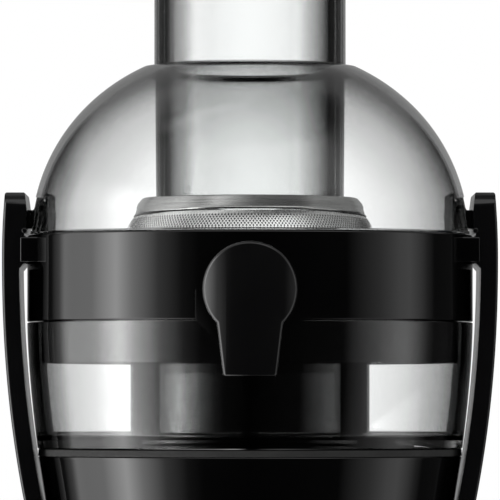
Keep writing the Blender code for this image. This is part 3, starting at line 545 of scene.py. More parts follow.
def laminations(name):
    """A stack of thin steel sheets, seen as fine level lines."""
    tree, shader, where = new_material(name)[1:]
    shader.inputs["Metallic"].default_value = 1.0
    lines = stripes(tree, where, 320.0, 0.4)
    paint(tree, shader, ramp(tree, lines, [(0.2, (0.10, 0.10, 0.11)), (0.6, (0.36, 0.36, 0.37))]),
          spread(tree, noise(tree, where, 200.0), 0.3, 0.7, 0.35, 0.55))
    bump(tree, shader, lines, 0.4, 0.00015)


def windings(name):
    """Enamelled copper wire, lying side by side round the coil."""
    tree, shader, where = new_material(name)[1:]
    shader.inputs["Metallic"].default_value = 0.85
    lines = stripes(tree, where, 260.0, 1.6)
    paint(tree, shader, ramp(tree, lines, [(0.1, (0.16, 0.045, 0.018)), (0.7, (0.62, 0.25, 0.10))]),
          spread(tree, lines, 0.0, 1.0, 0.45, 0.25))
    bump(tree, shader, lines, 0.6, 0.0003)


GLOSS = moulded("gloss_black", (0.0010, 0.0010, 0.0011), (0.0018, 0.0018, 0.0019), (0.035, 0.085),
                grain=420.0, strength=0.03)
MATT = moulded("matt_black", (0.012, 0.012, 0.0125), (0.020, 0.020, 0.0205), (0.42, 0.60),
               grain=1100.0, strength=0.4, grain_depth=0.00005)
moulded("spout_black", (0.0035, 0.0035, 0.0037), (0.0050, 0.0050, 0.0052), (0.09, 0.16),
        grain=520.0, strength=0.05)
moulded("clamp_black", (0.0030, 0.0030, 0.0033), (0.0046, 0.0046, 0.0050), (0.12, 0.22),
        grain=700.0, strength=0.08)
moulded("carbon", (0.018, 0.018, 0.019), (0.040, 0.040, 0.042), (0.45, 0.7),
        grain=1600.0, strength=0.5, grain_depth=0.00005)
moulded("grey_plastic", (0.22, 0.22, 0.23), (0.28, 0.28, 0.29), (0.35, 0.5), strength=0.25)
moulded("pointer_grey", (0.66, 0.66, 0.67), (0.76, 0.76, 0.77), (0.22, 0.34))
# the lid's clear plastic gets painted shade on its upper slopes
clear("lid_clear", (0.975, 0.982, 0.980), (0.0, 0.006), 1.38, painted_top_shade=(0.245, 0.268, 0.60))
clear("container_clear", (0.955, 0.962, 0.960), (0.0, 0.05))
clear("pusher_clear", (0.975, 0.978, 0.977), (0.0, 0.02), 1.22)
rubber("rubber_black")
metal("sieve_rim_steel", (0.50, 0.50, 0.49), (0.66, 0.66, 0.65), (0.14, 0.26), (1.0, 1.0, 40.0), 60.0)
metal("sieve_mesh_steel", (0.86, 0.86, 0.85), (0.96, 0.96, 0.95), (0.20, 0.34), None, 500.0)
metal("grater_steel", (0.50, 0.50, 0.50), (0.64, 0.64, 0.63), (0.18, 0.34), (1.0, 20.0, 1.0), 90.0)
metal("zinc_steel", (0.42, 0.43, 0.45), (0.60, 0.61, 0.63), (0.25, 0.45), None, 300.0)
metal("bearing_steel", (0.50, 0.50, 0.51), (0.66, 0.66, 0.67), (0.12, 0.25), (1.0, 1.0, 30.0), 120.0)
metal("brass", (0.55, 0.38, 0.14), (0.76, 0.56, 0.26), (0.25, 0.42), None, 260.0)
laminations("lamination_steel")
windings("copper")
SLOT_OF = {part["node"]: part["material_slot"] for part in frame["record"]["subparts"]}
BODY_OF = {node: body for body, nodes in frame["record"]["behaviour"]["bodies"].items()
           for node in nodes}


def stands_for(obj, node):
    """The new piece takes the place, body and material slot of a CAD node."""
    obj.data.materials.clear()
    obj.data.materials.append(BY_SLOT[SLOT_OF[node]])
    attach(obj, BODY_OF[node])
    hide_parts(node)


# ---- motor base ------------------------------------------------------------------

def base_radius(z):
    """Tulip outline: narrowest at the waist, wider towards the deck and the floor."""
    if z > WAIST_Z:
        rise = (z - WAIST_Z) / (DECK_Z - WAIST_Z)
        return WAIST_R + (DECK_R - WAIST_R) * rise ** 1.3
    fall = (WAIST_Z - z) / (WAIST_Z - BASE_BOTTOM)
    return WAIST_R + (FOOT_R - WAIST_R) * fall ** 2


def base_shell():
    """Tulip shell with its motor tower, clamp pockets and knob seat."""
    edge = 0.0012
    tower_edge = 0.0050
    roof = TOWER_TOP - WALL
    under = DECK_Z - WALL
    outer = [(base_radius(z), z) for z in levels(DECK_Z - edge, BASE_BOTTOM + 0.0008, 40)]
    outer.append((base_radius(BASE_BOTTOM) - 0.0006, BASE_BOTTOM))
    inner = [(base_radius(z) - WALL, z) for z in levels(BASE_BOTTOM, under, 20)]
    loop = [(TOWER_BORE_R, TOWER_TOP), (TOWER_R - 0.0008, TOWER_TOP, tower_edge)]
    loop += [(TOWER_R - 0.0006, TOWER_TOP - 0.0080), (TOWER_R, DECK_Z, 0.0006)]
    loop += [(DECK_R, DECK_Z, edge)] + outer + inner
    loop += [(TOWER_R - WALL, under), (TOWER_R - WALL - 0.0008, roof, tower_edge)]
    loop += [(TOWER_BORE_R, roof)]
    shell = turned("base_shell", loop, 6)
    core_line = [(base_radius(z) - WALL / 3, z) for z in levels(DECK_Z - edge, BASE_BOTTOM, 16)]
    low_z, high_z = PIVOT_Z - 0.0150, PIVOT_Z + 0.0130
    wall, deep, width, out = 0.0022, 0.0490, 0.0146, 0.0800
    for side in (-1, 1):
        core = lathe("core", [(0, DECK_Z - edge)] + core_line + [(0, BASE_BOTTOM)], 96)
        lump = block("lump", (side * (deep - wall), -width - wall, low_z - wall),
                     (side * out, width + wall, high_z + wall))
        combine(lump, core, operation="INTERSECT")
        combine(shell, lump, operation="UNION")
        room = prism("room", rounded([(side * deep, low_z, 0.002), (side * out, low_z),
                     (side * out, high_z), (side * deep, high_z, 0.002)], 4),
                     -width, width, ahead(0, 0))
        pin = rod("pin_hole", PIN_R + GAP, -0.0165, 0.0165, ahead(side * PIVOT_X, PIVOT_Z), 32)
        way = rod("plunger_hole", PLUNGER_R + 0.0004, 0.058, 0.075,
                  facing(outer_side(side), (0, 0, PLUNGER_Z)), 32)
        combine(shell, room, pin, way)
    at_knob = ahead(0, KNOB_Z)
    seat = rod("seat", KNOB_R + 0.0010, WAIST_R - 0.0045, KNOB_SEAT - GAP, at_knob, 96, 0.0005)
    combine(shell, seat, operation="UNION")
    combine(shell, rod("spindle_hole", 0.0034, 0.050, 0.070, at_knob),
            rod("gland_hole", 0.0058, 0.055, 0.070, facing("back", (0, 0, GLAND_Z))))
    stands_for(shell, "base_shell")


def base_plate(screws, feet):
    """The floor plate, with its slots and the holes for its screws and feet."""
    top, bottom = high("base_plate").z, low("base_plate").z
    through = 0.012
    line = [(0, top), (PLATE_R, top, 0.0004), (PLATE_R, bottom, 0.0004), (0, bottom)]
    plate = turned("base_plate", line, 3)
    for i in range(8):
        reach = 0.044 if i % 2 == 0 else 0.038
        slot = oblong(0.018, reach, -0.002, 0.002, 0.0019, 5)
        combine(plate, prism("slot", slot, 0, through, Matrix.Rotation(math.pi / 4 * i, 4, "Z")))
    for node, hole in [(n, 0.0023) for n in screws] + [(n, 0.0028) for n in feet]:
        combine(plate, rod("hole", hole, 0, through, over(node), 32))
    stands_for(plate, "base_plate")


def base_screw(node, under):
    """Self tapping screw with a cross recess; its head lies below `under`."""
    thread_r, root_r, head_r, head = 0.0017, 0.0013, 0.0034, 0.0018
    pitch = 0.0014
    line = [(0, 0.0200), (0.0012, 0.0200)]
    for k in range(9):
        z = 0.0190 - k * pitch
        line += [(thread_r, z), (root_r, z - pitch / 2)]
    line += [(thread_r, under), (head_r, under), (head_r, under - head, 0.0009), (0, under - head)]
    screw = turned(node, line, 4, 40, over(node))
    long, short = 0.0018, 0.0004
    outline = [(-long, -short), (long, -short), (long, short), (-long, short)]
    for angle in (0.6, 0.6 + math.pi / 2):
        combine(screw, prism("cross", outline, 0, under - 0.0008,
                             over(node) @ Matrix.Rotation(angle, 4, "Z")))
    stands_for(screw, node)


def foot(node, under):
    """Rubber foot with a barbed neck above the plate and a sucker ring below it."""
    line = [(0, 0.0098), (0.0030, 0.0098, 0.0006), (0.0034, 0.0090, 0.0003), (0.0025, 0.0080)]
    line += [(0.0025, under), (0.0080, under, 0.0006), (0.0078, 0.0, 0.0010)]
    line += [(0.0052, 0.0, 0.0002), (0.0048, 0.0007, 0.0002), (0, 0.0007)]
    stands_for(turned(node, line, 4, 72, over(node)), node)


def under_side():
    screws = [n for n in NODES if n.startswith("base_screw_")]
    feet = [n for n in NODES if n.startswith("foot_")]
    under = low("base_plate").z - GAP
    base_plate(screws, feet)
    for node in screws:
        base_screw(node, under)
    for node in feet:
        foot(node, under)


def seat_ring():
    """Soft ring that fills the joint between deck and pulp container."""
    base = low("seat_ring").z - GAP
    top = high("seat_ring").z + GAP
    inner = 0.0660
    loop = [(inner, top, 0.0003), (DECK_R, top, 0.0002), (DECK_R, base, 0.0002), (inner, base, 0.0003)]
    stands_for(turned("seat_ring", loop, 4), "seat_ring")


def cord_gland():
    """Ribbed strain relief sleeve, whose bore is where the mains cord would leave."""
    near = low("cord_gland").y - AXIS_Y
    far = high("cord_gland").y - AXIS_Y
    flange = high("cord_gland").x
    bore, neck, wall_out = 0.0036, 0.0055, 0.0632
    line = [(bore, near, 0.0003), (flange - 0.0008, near, 0.0006)]
    line += [(flange - 0.0008, near + 0.0016, 0.0005), (neck, near + 0.0018)]
    line += [(neck, wall_out), (flange, wall_out, 0.0004), (flange, wall_out + 0.0022, 0.0008)]
    ribs = 6
    start = wall_out + 0.0022
    pitch = (far - start) / ribs
    for k in range(ribs):
        y = start + pitch * k
        thick = 0.0064 - 0.0016 * k / ribs
        line += [(thick - 0.0010, y + 0.0002, 0.0003), (thick - 0.0010, y + pitch / 2, 0.0003)]
        line += [(thick, y + pitch / 2, 0.0003), (thick - 0.0001, y + pitch, 0.0003)]
    line += [(bore, far, 0.0003)]
    gland = turned("cord_gland", line, 3, 96, facing("back", (0, 0, GLAND_Z)))
    stands_for(gland, "cord_gland")


def speed_knob():
    """Knob with a fluted rim and a raised grip bar, and the pale pointer let into the bar."""
    back = KNOB_SEAT
    mid = KNOB_SEAT + 0.0060
    place = ahead(0, KNOB_Z)
    line = [(0, mid - 0.0006), (0.0120, mid - 0.0004), (KNOB_R, mid, 0.0016), (KNOB_R, back, 0.0004)]
    line += [(0, back)]
    knob = turned("speed_knob", line, 6, 160, place)
    flutes = 30
    flute_reach = KNOB_R * 1.012
    for k in range(flutes):
        a = 2 * math.pi * k / flutes
        at_rim = ahead(flute_reach * math.cos(a), KNOB_Z + flute_reach * math.sin(a))
        combine(knob, rod("flute", 0.0006, back - 0.001, mid - 0.0021, at_rim, 12))
    grip = oblong(-0.0040, 0.0040, -0.0150, 0.0150, 0.0039, 8)
    bar = softened(prism("bar", grip, mid - 0.002, KNOB_FRONT, place), 0.0010, 4)
    combine(knob, bar, operation="UNION")
    combine(knob, rod("bore", 0.0033, 0.0600, back + 0.0045, place))
    slot = oblong(-0.0011, 0.0011, 0.0040, 0.0125, 0.0003, 3)
    combine(knob, prism("slot", slot, KNOB_FRONT - 0.0010, KNOB_FRONT + 0.001, place))
    stands_for(knob, "speed_knob")
    inlay = prism("knob_pointer_fine", oblong(-0.0008, 0.0008, 0.0043, 0.0122, 0.0003, 3),
                  KNOB_FRONT - 0.0007, KNOB_FRONT, place)
    stands_for(softened(inlay, 0.0001, 2), "knob_pointer")


# ---- sieve ---------------------------------------------------------------------------

def sieve_radius(z):
    drop = max(0.0, (SIEVE_MESH_TOP - z) / (SIEVE_MESH_TOP - SIEVE_FLOOR))
    return SIEVE_NECK_R + (SIEVE_FOOT_R - 0.0006 - SIEVE_NECK_R) * drop ** 0.78


def sieve_mesh():
    """The etched cone: rows of fine diamond holes with plain edges, over a dark matt cone that paints
    shade into every hole.
    """
    bottom = SIEVE_FLOOR + GAP
    band = 0.0005
    thick = 0.0005
    columns, rows = 230, 42
    open_part = 0.60          # of each diamond's width
    zs = levels(bottom + band, SIEVE_MESH_TOP - band, rows)
    bm = bmesh.new()

    def point(column, z, inset=0.0):
        a = 2 * math.pi * column / columns
        r = sieve_radius(z) - inset
        return bm.verts.new((r * math.cos(a), AXIS_Y + r * math.sin(a), z))

    grid = [[point(c + (0.5 if r % 2 else 0.0), z) for c in range(columns)]
            for r, z in enumerate(zs)]
    for r in range(1, rows):
        odd = r % 2
        for c in range(columns):
            after = (c + 1) % columns
            tip = after if odd else c
            corners = [grid[r][c], grid[r - 1][tip], grid[r][after], grid[r + 1][tip]]
            middle = sum((v.co for v in corners), Vector()) / 4
            hole = [bm.verts.new(middle + (v.co - middle) * open_part) for v in corners]
            for k in range(4):
                m = (k + 1) % 4
                bm.faces.new((corners[k], corners[m], hole[m], hole[k]))
    for r, z in ((0, bottom), (rows, SIEVE_MESH_TOP)):
        rim = [point(c + (0.5 if r % 2 else 0.0), z) for c in range(columns)]
        for c in range(columns):
            m = (c + 1) % columns
            bm.faces.new((grid[r][c], grid[r][m], rim[m], rim[c]))
    for r, n in ((0, 1), (rows, rows - 1)):
        for c in range(columns):
            after = (c + 1) % columns
            bm.faces.new((grid[r][c], grid[r][after], grid[n][c if n % 2 else after]))
    # painted shade: a dark matt cone just inside the mesh, so that every hole shows dark
    heights = levels(bottom, SIEVE_MESH_TOP, 24)
    lining = [[point(c * 2, z, thick) for c in range(columns // 2)] for z in heights]
    for lower, upper in zip(lining, lining[1:]):
        for c in range(len(lower)):
            m = (c + 1) % len(lower)
            bm.faces.new((lower[c], lower[m], upper[m], upper[c]))
    bmesh.ops.recalc_face_normals(bm, faces=bm.faces)
    mesh = bpy.data.meshes.new("sieve_mesh_fine")
    bm.to_mesh(mesh)
    bm.free()
    mesh.shade_smooth()
    stands_for(to_object("sieve_mesh_fine", mesh), "sieve_mesh")
    # the painted shade cone inside the mesh takes the matt black finish
    mesh.materials.append(MATT)
    for face in mesh.polygons:
        if axis_reach(face.center) < sieve_radius(face.center.z) - 0.6 * thick:
            face.material_index = 1


def sieve_rim():
    """Polished collar over the mesh, a little narrower at its top."""
    top_r = SIEVE_LIP_R
    thick = 0.0008
    foot = SIEVE_NECK_R + 0.0002
    base = SIEVE_MESH_TOP + GAP
    loop = [(top_r - 0.0008, SIEVE_TOP, 0.0002), (top_r, SIEVE_TOP - 0.0003, 0.0004)]
    loop += [(foot - 0.0004, base + 0.0006, 0.0010), (foot, base, 0.0002), (foot - thick, base, 0.0002)]
    loop += [(top_r - 0.0016, SIEVE_TOP - 0.0010, 0.0006)]
    stands_for(turned("sieve_rim", loop, 5), "sieve_rim")


def sieve_hub():
    """Wheel under the sieve, with pulp slots near its edge and a hexagonal drive socket."""
    base = low("sieve_hub").z
    ring_low = BAND_BOTTOM - 0.0008
    web = SIEVE_FLOOR - 0.0026
    ring_in, core = 0.0515, 0.0140
    line = [(0, SIEVE_FLOOR), (SIEVE_FOOT_R, SIEVE_FLOOR, 0.0008), (SIEVE_FOOT_R, ring_low, 0.0005)]
    line += [(ring_in, ring_low, 0.0005), (ring_in, web), (core, web, 0.0010), (core, base, 0.0008)]
    line += [(0, base)]
    hub = turned("sieve_hub", line, 4, 160)
    slot = oblong(0.0455, 0.0510, -0.0170, 0.0170, 0.0015)
    for i in range(6):
        combine(hub, prism("slot", slot, 0.19, 0.22, Matrix.Rotation(math.pi / 3 * i, 4, "Z")))
    combine(hub, rod("socket", 0.0100, 0.19, high("drive_coupling").z + 0.0004, None, 6))
    stands_for(hub, "sieve_hub")


def grater_disc():
    """Shredding disc: curved rows of raised teeth on a thin sheet."""
    base = low("grater_disc").z
    top = base + 0.0012
    line = [(0, top + 0.0020), (0.0030, top + 0.0018, 0.0010), (0.0060, top, 0.0012)]
    line += [(GRATER_R, top, 0.0003), (GRATER_R, base, 0.0003), (0, base)]
    disc = turned("grater_disc", line, 4, 160)
    bm = bmesh.new()
    bm.from_mesh(disc.data)
    size = 0.0011
    for arm in range(12):
        for k in range(13):
            r = 0.0095 + 0.0026 * k
            a = arm * math.pi / 6 + 0.045 * k
            out = Vector((math.cos(a), math.sin(a), 0))
            along = Vector((-math.sin(a), math.cos(a), 0))
            centre = Vector((r * math.cos(a), AXIS_Y + r * math.sin(a), 0))

            def corner(u, v, z):
                return bm.verts.new(centre + along * size * u + out * size * v + Vector((0, 0, z)))

            foot = [corner(u, 0.6 * v, top - 0.0003) for u, v in ((-1, -1), (1, -1), (1, 1), (-1, 1))]
            tip = [corner(1.05, 0.35 * v, top + 0.0009) for v in (-1, 1)]
            bm.faces.new(foot[::-1])
            bm.faces.new((foot[1], foot[2], tip[1], tip[0]))
            bm.faces.new((foot[3], foot[0], tip[0], tip[1]))
            bm.faces.new((foot[0], foot[1], tip[0]))
            bm.faces.new((foot[2], foot[3], tip[1]))
    bm.to_mesh(disc.data)
    bm.free()
    disc.data.set_sharp_from_angle(angle=math.radians(28))
    stands_for(disc, "grater_disc")


# ---- pulp container and juice collector -------------------------------------------------

def cup_radius(z):
    """Outer radius of the container, which curves in from the band to its foot."""
    drop = (BAND_BOTTOM - z) / (BAND_BOTTOM - CUP_BOTTOM)
    return BAND_R - (BAND_R - CUP_FOOT_R) * max(0.0, drop) ** 1.6


def pulp_container():
    """Clear tub round a hollow column; the column's lining and the tub's bed are black."""
    top = BAND_BOTTOM - GAP
    floor = CUP_BOTTOM + 0.0037
    column_top = TOWER_TOP + 0.0002
    column_r = (COLUMN_TOP_R + COLUMN_FOOT_R) / 2
    loop = [(cup_radius(top) - CUP_WALL, top, 0.0004), (cup_radius(top), top, 0.0004)]
    loop += [(cup_radius(z), z) for z in levels(top - 0.0008, CUP_BOTTOM + 0.0006, 24)]
    loop += [(cup_radius(CUP_BOTTOM) - 0.0005, CUP_BOTTOM)]
    loop += [(COLUMN_FOOT_R - CUP_WALL, CUP_BOTTOM, 0.0008)]
    loop += [(COLUMN_TOP_R - CUP_WALL, column_top, 0.0006), (column_r, column_top, 0.0012)]
    loop += [(column_r, floor, 0.0022)]
    loop += [(cup_radius(floor) - CUP_WALL, floor, 0.0026)]
    loop += [(cup_radius(z) - CUP_WALL, z) for z in levels(floor + 0.0040, top - 0.0010, 20)]
    tub = turned("pulp_container", loop, 6)
    stands_for(tub, "pulp_container")
    tub.data.materials.append(GLOSS)
    for face in tub.data.polygons:
        reach, z = axis_reach(face.center), face.center.z
        lining = reach < COLUMN_FOOT_R - CUP_WALL + 0.0002
        bed = z < floor + 0.0002 and reach < cup_radius(floor) - CUP_WALL
        sole = z < CUP_BOTTOM + 0.0009
        if lining or bed or sole:
            face.material_index = 1


def spout_tongue(inside, join):
    """Curved plate behind the spout, and the round boss that the spout's stub turns in."""
    out = BAND_R + 0.0022
    sleeve = [(inside + 0.0010, SPOUT_Z), (out, SPOUT_Z), (out, TONGUE_BOTTOM)]
    sleeve += [(BAND_R + GAP, TONGUE_BOTTOM), (BAND_R + GAP, join), (inside + 0.0010, join)]
    tongue = lathe("tongue", sleeve)
    shape = [(-0.0185, 0.2118), (-0.0185, 0.1994, 0.0015), (-0.0090, 0.1906, 0.0015)]
    shape.append((-0.0086, TONGUE_BOTTOM - 0.001))
    shape += [(-p[0],) + p[1:] for p in reversed(shape)]
    plate = prism("tongue_plate", rounded(shape, 6), 0.05, 0.10, ahead(0, 0))
    combine(tongue, plate, operation="INTERSECT")
    softened(tongue, 0.0006, 3, 50)
    boss = rod("boss", 0.0138, 0.0750, SPOUT_BACK - 0.0005, ahead(0, SPOUT_Z), 96, 0.0004)
    relief = lathe("relief", [(0.06, join), (BAND_R + 2 * GAP, join),
                   (BAND_R + 2 * GAP, TONGUE_BOTTOM), (0.06, TONGUE_BOTTOM)])
    combine(boss, relief)
    return boss, tongue


def juice_collector():
    """Black band with a ring trough inside and a skirt that hangs into the container."""
    skirt_r = cup_radius(SKIRT_BOTTOM) - CUP_WALL - 0.0006
    skirt_in = skirt_r - 0.0017
    hole = SIEVE_FOOT_R + RUN
    rim = hole + 0.0018
    under = TROUGH_FLOOR - 0.0022
    inside = BAND_R - WALL
    loop = [(inside, BAND_TOP, 0.0004), (BAND_R, BAND_TOP, 0.0007), (BAND_R, BAND_BOTTOM, 0.0005)]
    loop += [(skirt_r, BAND_BOTTOM), (skirt_r, SKIRT_BOTTOM, 0.0005), (skirt_in, SKIRT_BOTTOM, 0.0005)]
    loop += [(skirt_in, under, 0.0010), (hole, under, 0.0006), (hole, INNER_WALL_TOP, 0.0006)]
    loop += [(rim, INNER_WALL_TOP, 0.0006), (rim, TROUGH_FLOOR, 0.0022), (inside, TROUGH_FLOOR, 0.0026)]
    band = turned("juice_collector", loop, 5)
    combine(band, *spout_tongue(inside, BAND_BOTTOM + 0.0006), operation="UNION")
    combine(band, rod("spout_hole", STUB_R + GAP + 0.0001, 0.0700, 0.0850, ahead(0, SPOUT_Z)))
    guide_width, guide_depth = 0.0067, 0.0020
    for x in (-0.0795, 0.0728):
        for y in (0.0236, -0.0256):
            guide = block("guide", (x, y, BAND_TOP - 0.0097),
                          (x + guide_width, y + guide_depth, BAND_TOP - 0.0011))
            combine(band, softened(guide, 0.0004, 3), operation="UNION")
    stands_for(band, "juice_collector")


def split(bm, point, normal):
    """Add edges wherever a plane crosses the mesh."""
    bmesh.ops.bisect_plane(bm, geom=bm.verts[:] + bm.edges[:] + bm.faces[:],
                           plane_co=point, plane_no=normal)


def bowed(obj, half, radius, back, front, strips=44):
    """Bend the front of a forward facing piece to an upright cylinder, leaving its back flat."""
    with editing(obj.data) as bm:
        for k in range(1, strips):
            split(bm, (half * (2 * k / strips - 1), 0, 0), (1, 0, 0))
        for v in bm.verts:
            share = min(1.0, max(0.0, (AXIS_Y - v.co.y - back) / (front - back)))
            v.co.y += share * (radius - math.sqrt(radius ** 2 - v.co.x ** 2))
    shaded(obj.data)


def spout():
    """Keyhole shaped spout with a bowed front, a soft edge, and a throat open underneath."""
    half_top, half_bottom = 0.01115, 0.0090
    place = ahead(0, SPOUT_Z)
    neck = SPOUT_BOTTOM_Z - SPOUT_Z
    start = math.degrees(math.asin(half_top / SPOUT_HEAD_R))
    head = arc((0, 0), SPOUT_HEAD_R, -90 + start, 270 - start, 72)
    waist = -SPOUT_HEAD_R * math.cos(math.radians(start)) - 0.0035
    left = [(-half_top + 0.0004, waist), (-half_bottom, neck, 0.0010)]
    right = [(half_bottom, neck, 0.0010), (half_top - 0.0004, waist)]
    body = prism("spout_fine", rounded(head + left + right, 5), SPOUT_BACK, SPOUT_FRONT, place)
    softened(body, 0.0011, 5, 38)
    bowed(body, SPOUT_HEAD_R, 0.0305, SPOUT_BACK, SPOUT_FRONT)
    combine(body, rod("stub", STUB_R, 0.0725, SPOUT_BACK + 0.0020, place, 64, 0.0003),
            operation="UNION")
    throat = block("throat", (-0.0068, -SPOUT_FRONT + 0.0030, SPOUT_BOTTOM_Z - 0.005),
                   (0.0068, -SPOUT_BACK - 0.0020, SPOUT_Z - 0.001))
    combine(body, rod("bore", STUB_R - 0.0018, 0.0700, SPOUT_FRONT - 0.0030, place), throat)
    stands_for(body, "spout")


# ---- lid and pusher --------------------------------------------------------------------

def dome_points(start, end, count, inset=0.0):
    """The dome's outline, a superellipse, between two angles above its widest level."""
    power = 2 / DOME_POWER
    out = []
    for i in range(count + 1):
        a = math.radians(start + (end - start) * i / count)
        out.append(((DOME_R - inset) * math.cos(a) ** power,
                    DOME_Z + (DOME_HEIGHT - inset) * math.sin(a) ** power))
    return out


def lid():
    """Clear dome and feed tube, a lip inside the band, and a pocket for each clamp's hook."""
    tube_bottom = 0.2120
    shoulder = 62.5           # degrees, where the dome meets the tube
    lip_r = BAND_R - WALL - GAP
    lip_low = BAND_TOP - 0.0040
    rest = BAND_TOP + GAP
    tube_in = TUBE_R - 0.0002
    loop = [(BORE_R, TUBE_TOP, 0.0006), (TUBE_R, TUBE_TOP, 0.0006), (TUBE_R, 0.2897, 0.0003)]
    loop += [(TUBE_R + 0.0012, 0.2890, 0.0003)]
    loop += dome_points(shoulder, 7.5, 56)
    loop += [(DOME_R, rest, 0.0003), (lip_r, rest, 0.0002), (lip_r, lip_low, 0.0005)]
    loop += [(lip_r - 0.0020, lip_low, 0.0005), (lip_r - 0.0020, rest - 0.0010)]
    loop += [(lip_r - 0.0004, rest + 0.0005)]
    loop += dome_points(9.0, shoulder, 48, CLEAR_WALL)
    loop += [(tube_in, 0.2873, 0.0003), (tube_in - 0.0008, tube_bottom, 0.0008)]
    loop += [(BORE_R, tube_bottom, 0.0008)]
    piece = turned("lid", loop, 4, 256)
    wall = 0.0008
    width = HOOK_HALF_WIDTH
    core = [(0, DOME_Z + DOME_HEIGHT - 0.01)] + dome_points(60.0, 3.0, 60, 0.0005) + [(0, DOME_Z)]
    for side in (-1, 1):
        lump = block("lump", (side * (HOOK_BACK - wall), -width - wall, BAND_TOP + 2 * GAP),
                     (side * BEYOND, width + wall, HOOK_HIGH + wall))
        combine(lump, lathe("core", core, 256), operation="INTERSECT")
        combine(piece, lump, operation="UNION")
        combine(piece, block("hook_room", (side * HOOK_BACK, -width, HOOK_LOW),
                             (side * BEYOND, width, HOOK_HIGH)))
    rib = block("tube_rib", (-BORE_R - 0.0008, -0.0010, 0.2300),
                (-BORE_R + 0.0014, 0.0010, TUBE_TOP - 0.004))
    combine(piece, rib, operation="UNION")
    stands_for(piece, "lid")


def pusher():
    """Clear cup with a guide groove, closed by a black cap that plugs its top."""
    outer = high("pusher_body").x
    inner = outer - 0.0022
    top = high("pusher_body").z
    bed = PUSHER_LOW + 0.0024
    line = [(0, bed), (inner, bed, 0.0012), (inner, top, 0.0006)]
    line += [(outer, top, 0.0006), (outer, PUSHER_LOW, 0.0014), (0, PUSHER_LOW)]
    body = turned("pusher_body", line, 5, 200)
    groove = block("groove", (-outer - 0.001, -0.0016, 0.20), (-outer + 0.0012, 0.0016, 0.35))
    combine(body, groove)
    stands_for(body, "pusher_body")
    rim = TUBE_TOP + GAP
    plug = inner - GAP
    plug_low = rim - 0.0090
    r = TUBE_R
    line = [(0, PUSHER_TOP - 0.0006), (0.0150, PUSHER_TOP - 0.0004), (r - 0.0042, PUSHER_TOP, 0.0020)]
    line += [(r - 0.0006, PUSHER_TOP - 0.0012, 0.0016), (r + 0.0004, PUSHER_TOP - 0.0040, 0.0020)]
    line += [(r + 0.0010, rim, 0.0005), (plug, rim), (plug, plug_low, 0.0004)]
    line += [(plug - 0.0020, plug_low, 0.0004), (plug - 0.0020, PUSHER_TOP - 0.0028)]
    line += [(0, PUSHER_TOP - 0.0028)]
    stands_for(turned("pusher_cap", line, 6, 200), "pusher_cap")


# ---- clamps -------------------------------------------------------------------------------

def clamp_radius(z):
    """Distance of a clamp's outer face from the drive axis."""
    if z >= BOW_Z:
        rise = (z - BOW_Z) / (CLAMP_TOP - BOW_Z)
        return CLAMP_R - 0.0010 * rise ** 2
    if z < KNEE_Z:
        return CLAMP_R - KNEE_DROP - 0.175 * (KNEE_Z - z)
    drop = (BOW_Z - z) / (BOW_Z - KNEE_Z)
    return CLAMP_R - KNEE_DROP * drop ** 2.136


def clamp_inside(z):
    """Distance of its inner face below the band."""
    thick, knee, foot = 0.0060, 0.0063, 0.0050
    if z >= KNEE_Z:
        share = (z - KNEE_Z) / (BOW_Z - KNEE_Z)
        return clamp_radius(z) - knee - (thick - knee) * share
    share = (KNEE_Z - z) / (KNEE_Z - PIVOT_Z)
    return clamp_radius(z) - knee + (knee - foot) * share


def eased(obj, side, half, radius=0.0013, steps=6):
    """Round the long edges where a clamp's outer face turns to its front and back."""
    with editing(obj.data) as bm:
        for way in (-1, 1):
            for k in range(steps):
                y = AXIS_Y + way * (half - radius + radius * math.sin(math.pi / 2 * k / steps))
                split(bm, (0, y, 0), (0, 1, 0))
        for v in bm.verts:
            past = min(radius, abs(v.co.y - AXIS_Y) - (half - radius))
            skin = (side * v.co.x - clamp_radius(v.co.z) + 0.0030) / 0.0024
            if past > 0 and skin > 0:
                v.co.x -= side * min(1.0, skin) * (radius - math.sqrt(radius ** 2 - past ** 2))
    shaded(obj.data)


def clamp_outline():
    """Side view of a clamp: bowed outer face, foot, inner face, and the hook at its top."""
    foot = PIVOT_Z - 0.0060
    loop = [(0.0781, CLAMP_TOP, 0.0006), (clamp_radius(CLAMP_TOP), CLAMP_TOP, 0.0010)]
    loop += [(clamp_radius(z), z) for z in levels(CLAMP_TOP - 0.0015, KNEE_Z, 40)]
    loop += [(clamp_radius(z), z) for z in levels(KNEE_Z - 0.002, foot + 0.001, 8)]
    loop += [(clamp_radius(foot), foot, 0.0006), (clamp_inside(foot), foot, 0.0006)]
    loop += [(clamp_inside(z), z) for z in levels(foot + 0.0010, KNEE_Z, 8)[:-1]]
    loop += [(clamp_inside(z), z) for z in levels(KNEE_Z, 0.2180, 30)]
    rib = BAND_R + GAP
    loop += [(rib, BAND_TOP - 0.0100, 0.0006), (rib, BAND_TOP + 0.0003, 0.0004)]
    hook = [(CLAMP_FACE, 0.0008, 0.0003), (CLAMP_FACE, 0.0022, 0.0003), (0.0710, 0.0025, 0.0004)]
    hook += [(0.0708, 0.0060, 0.0008), (0.0724, 0.0122, 0.0005), (0.0740, 0.0122, 0.0005)]
    hook += [(0.0755, 0.0087, 0.0004), (CLAMP_FACE, 0.0087, 0.0003)]
    return loop + [(x, BAND_TOP + rise, radius) for x, rise, radius in hook]


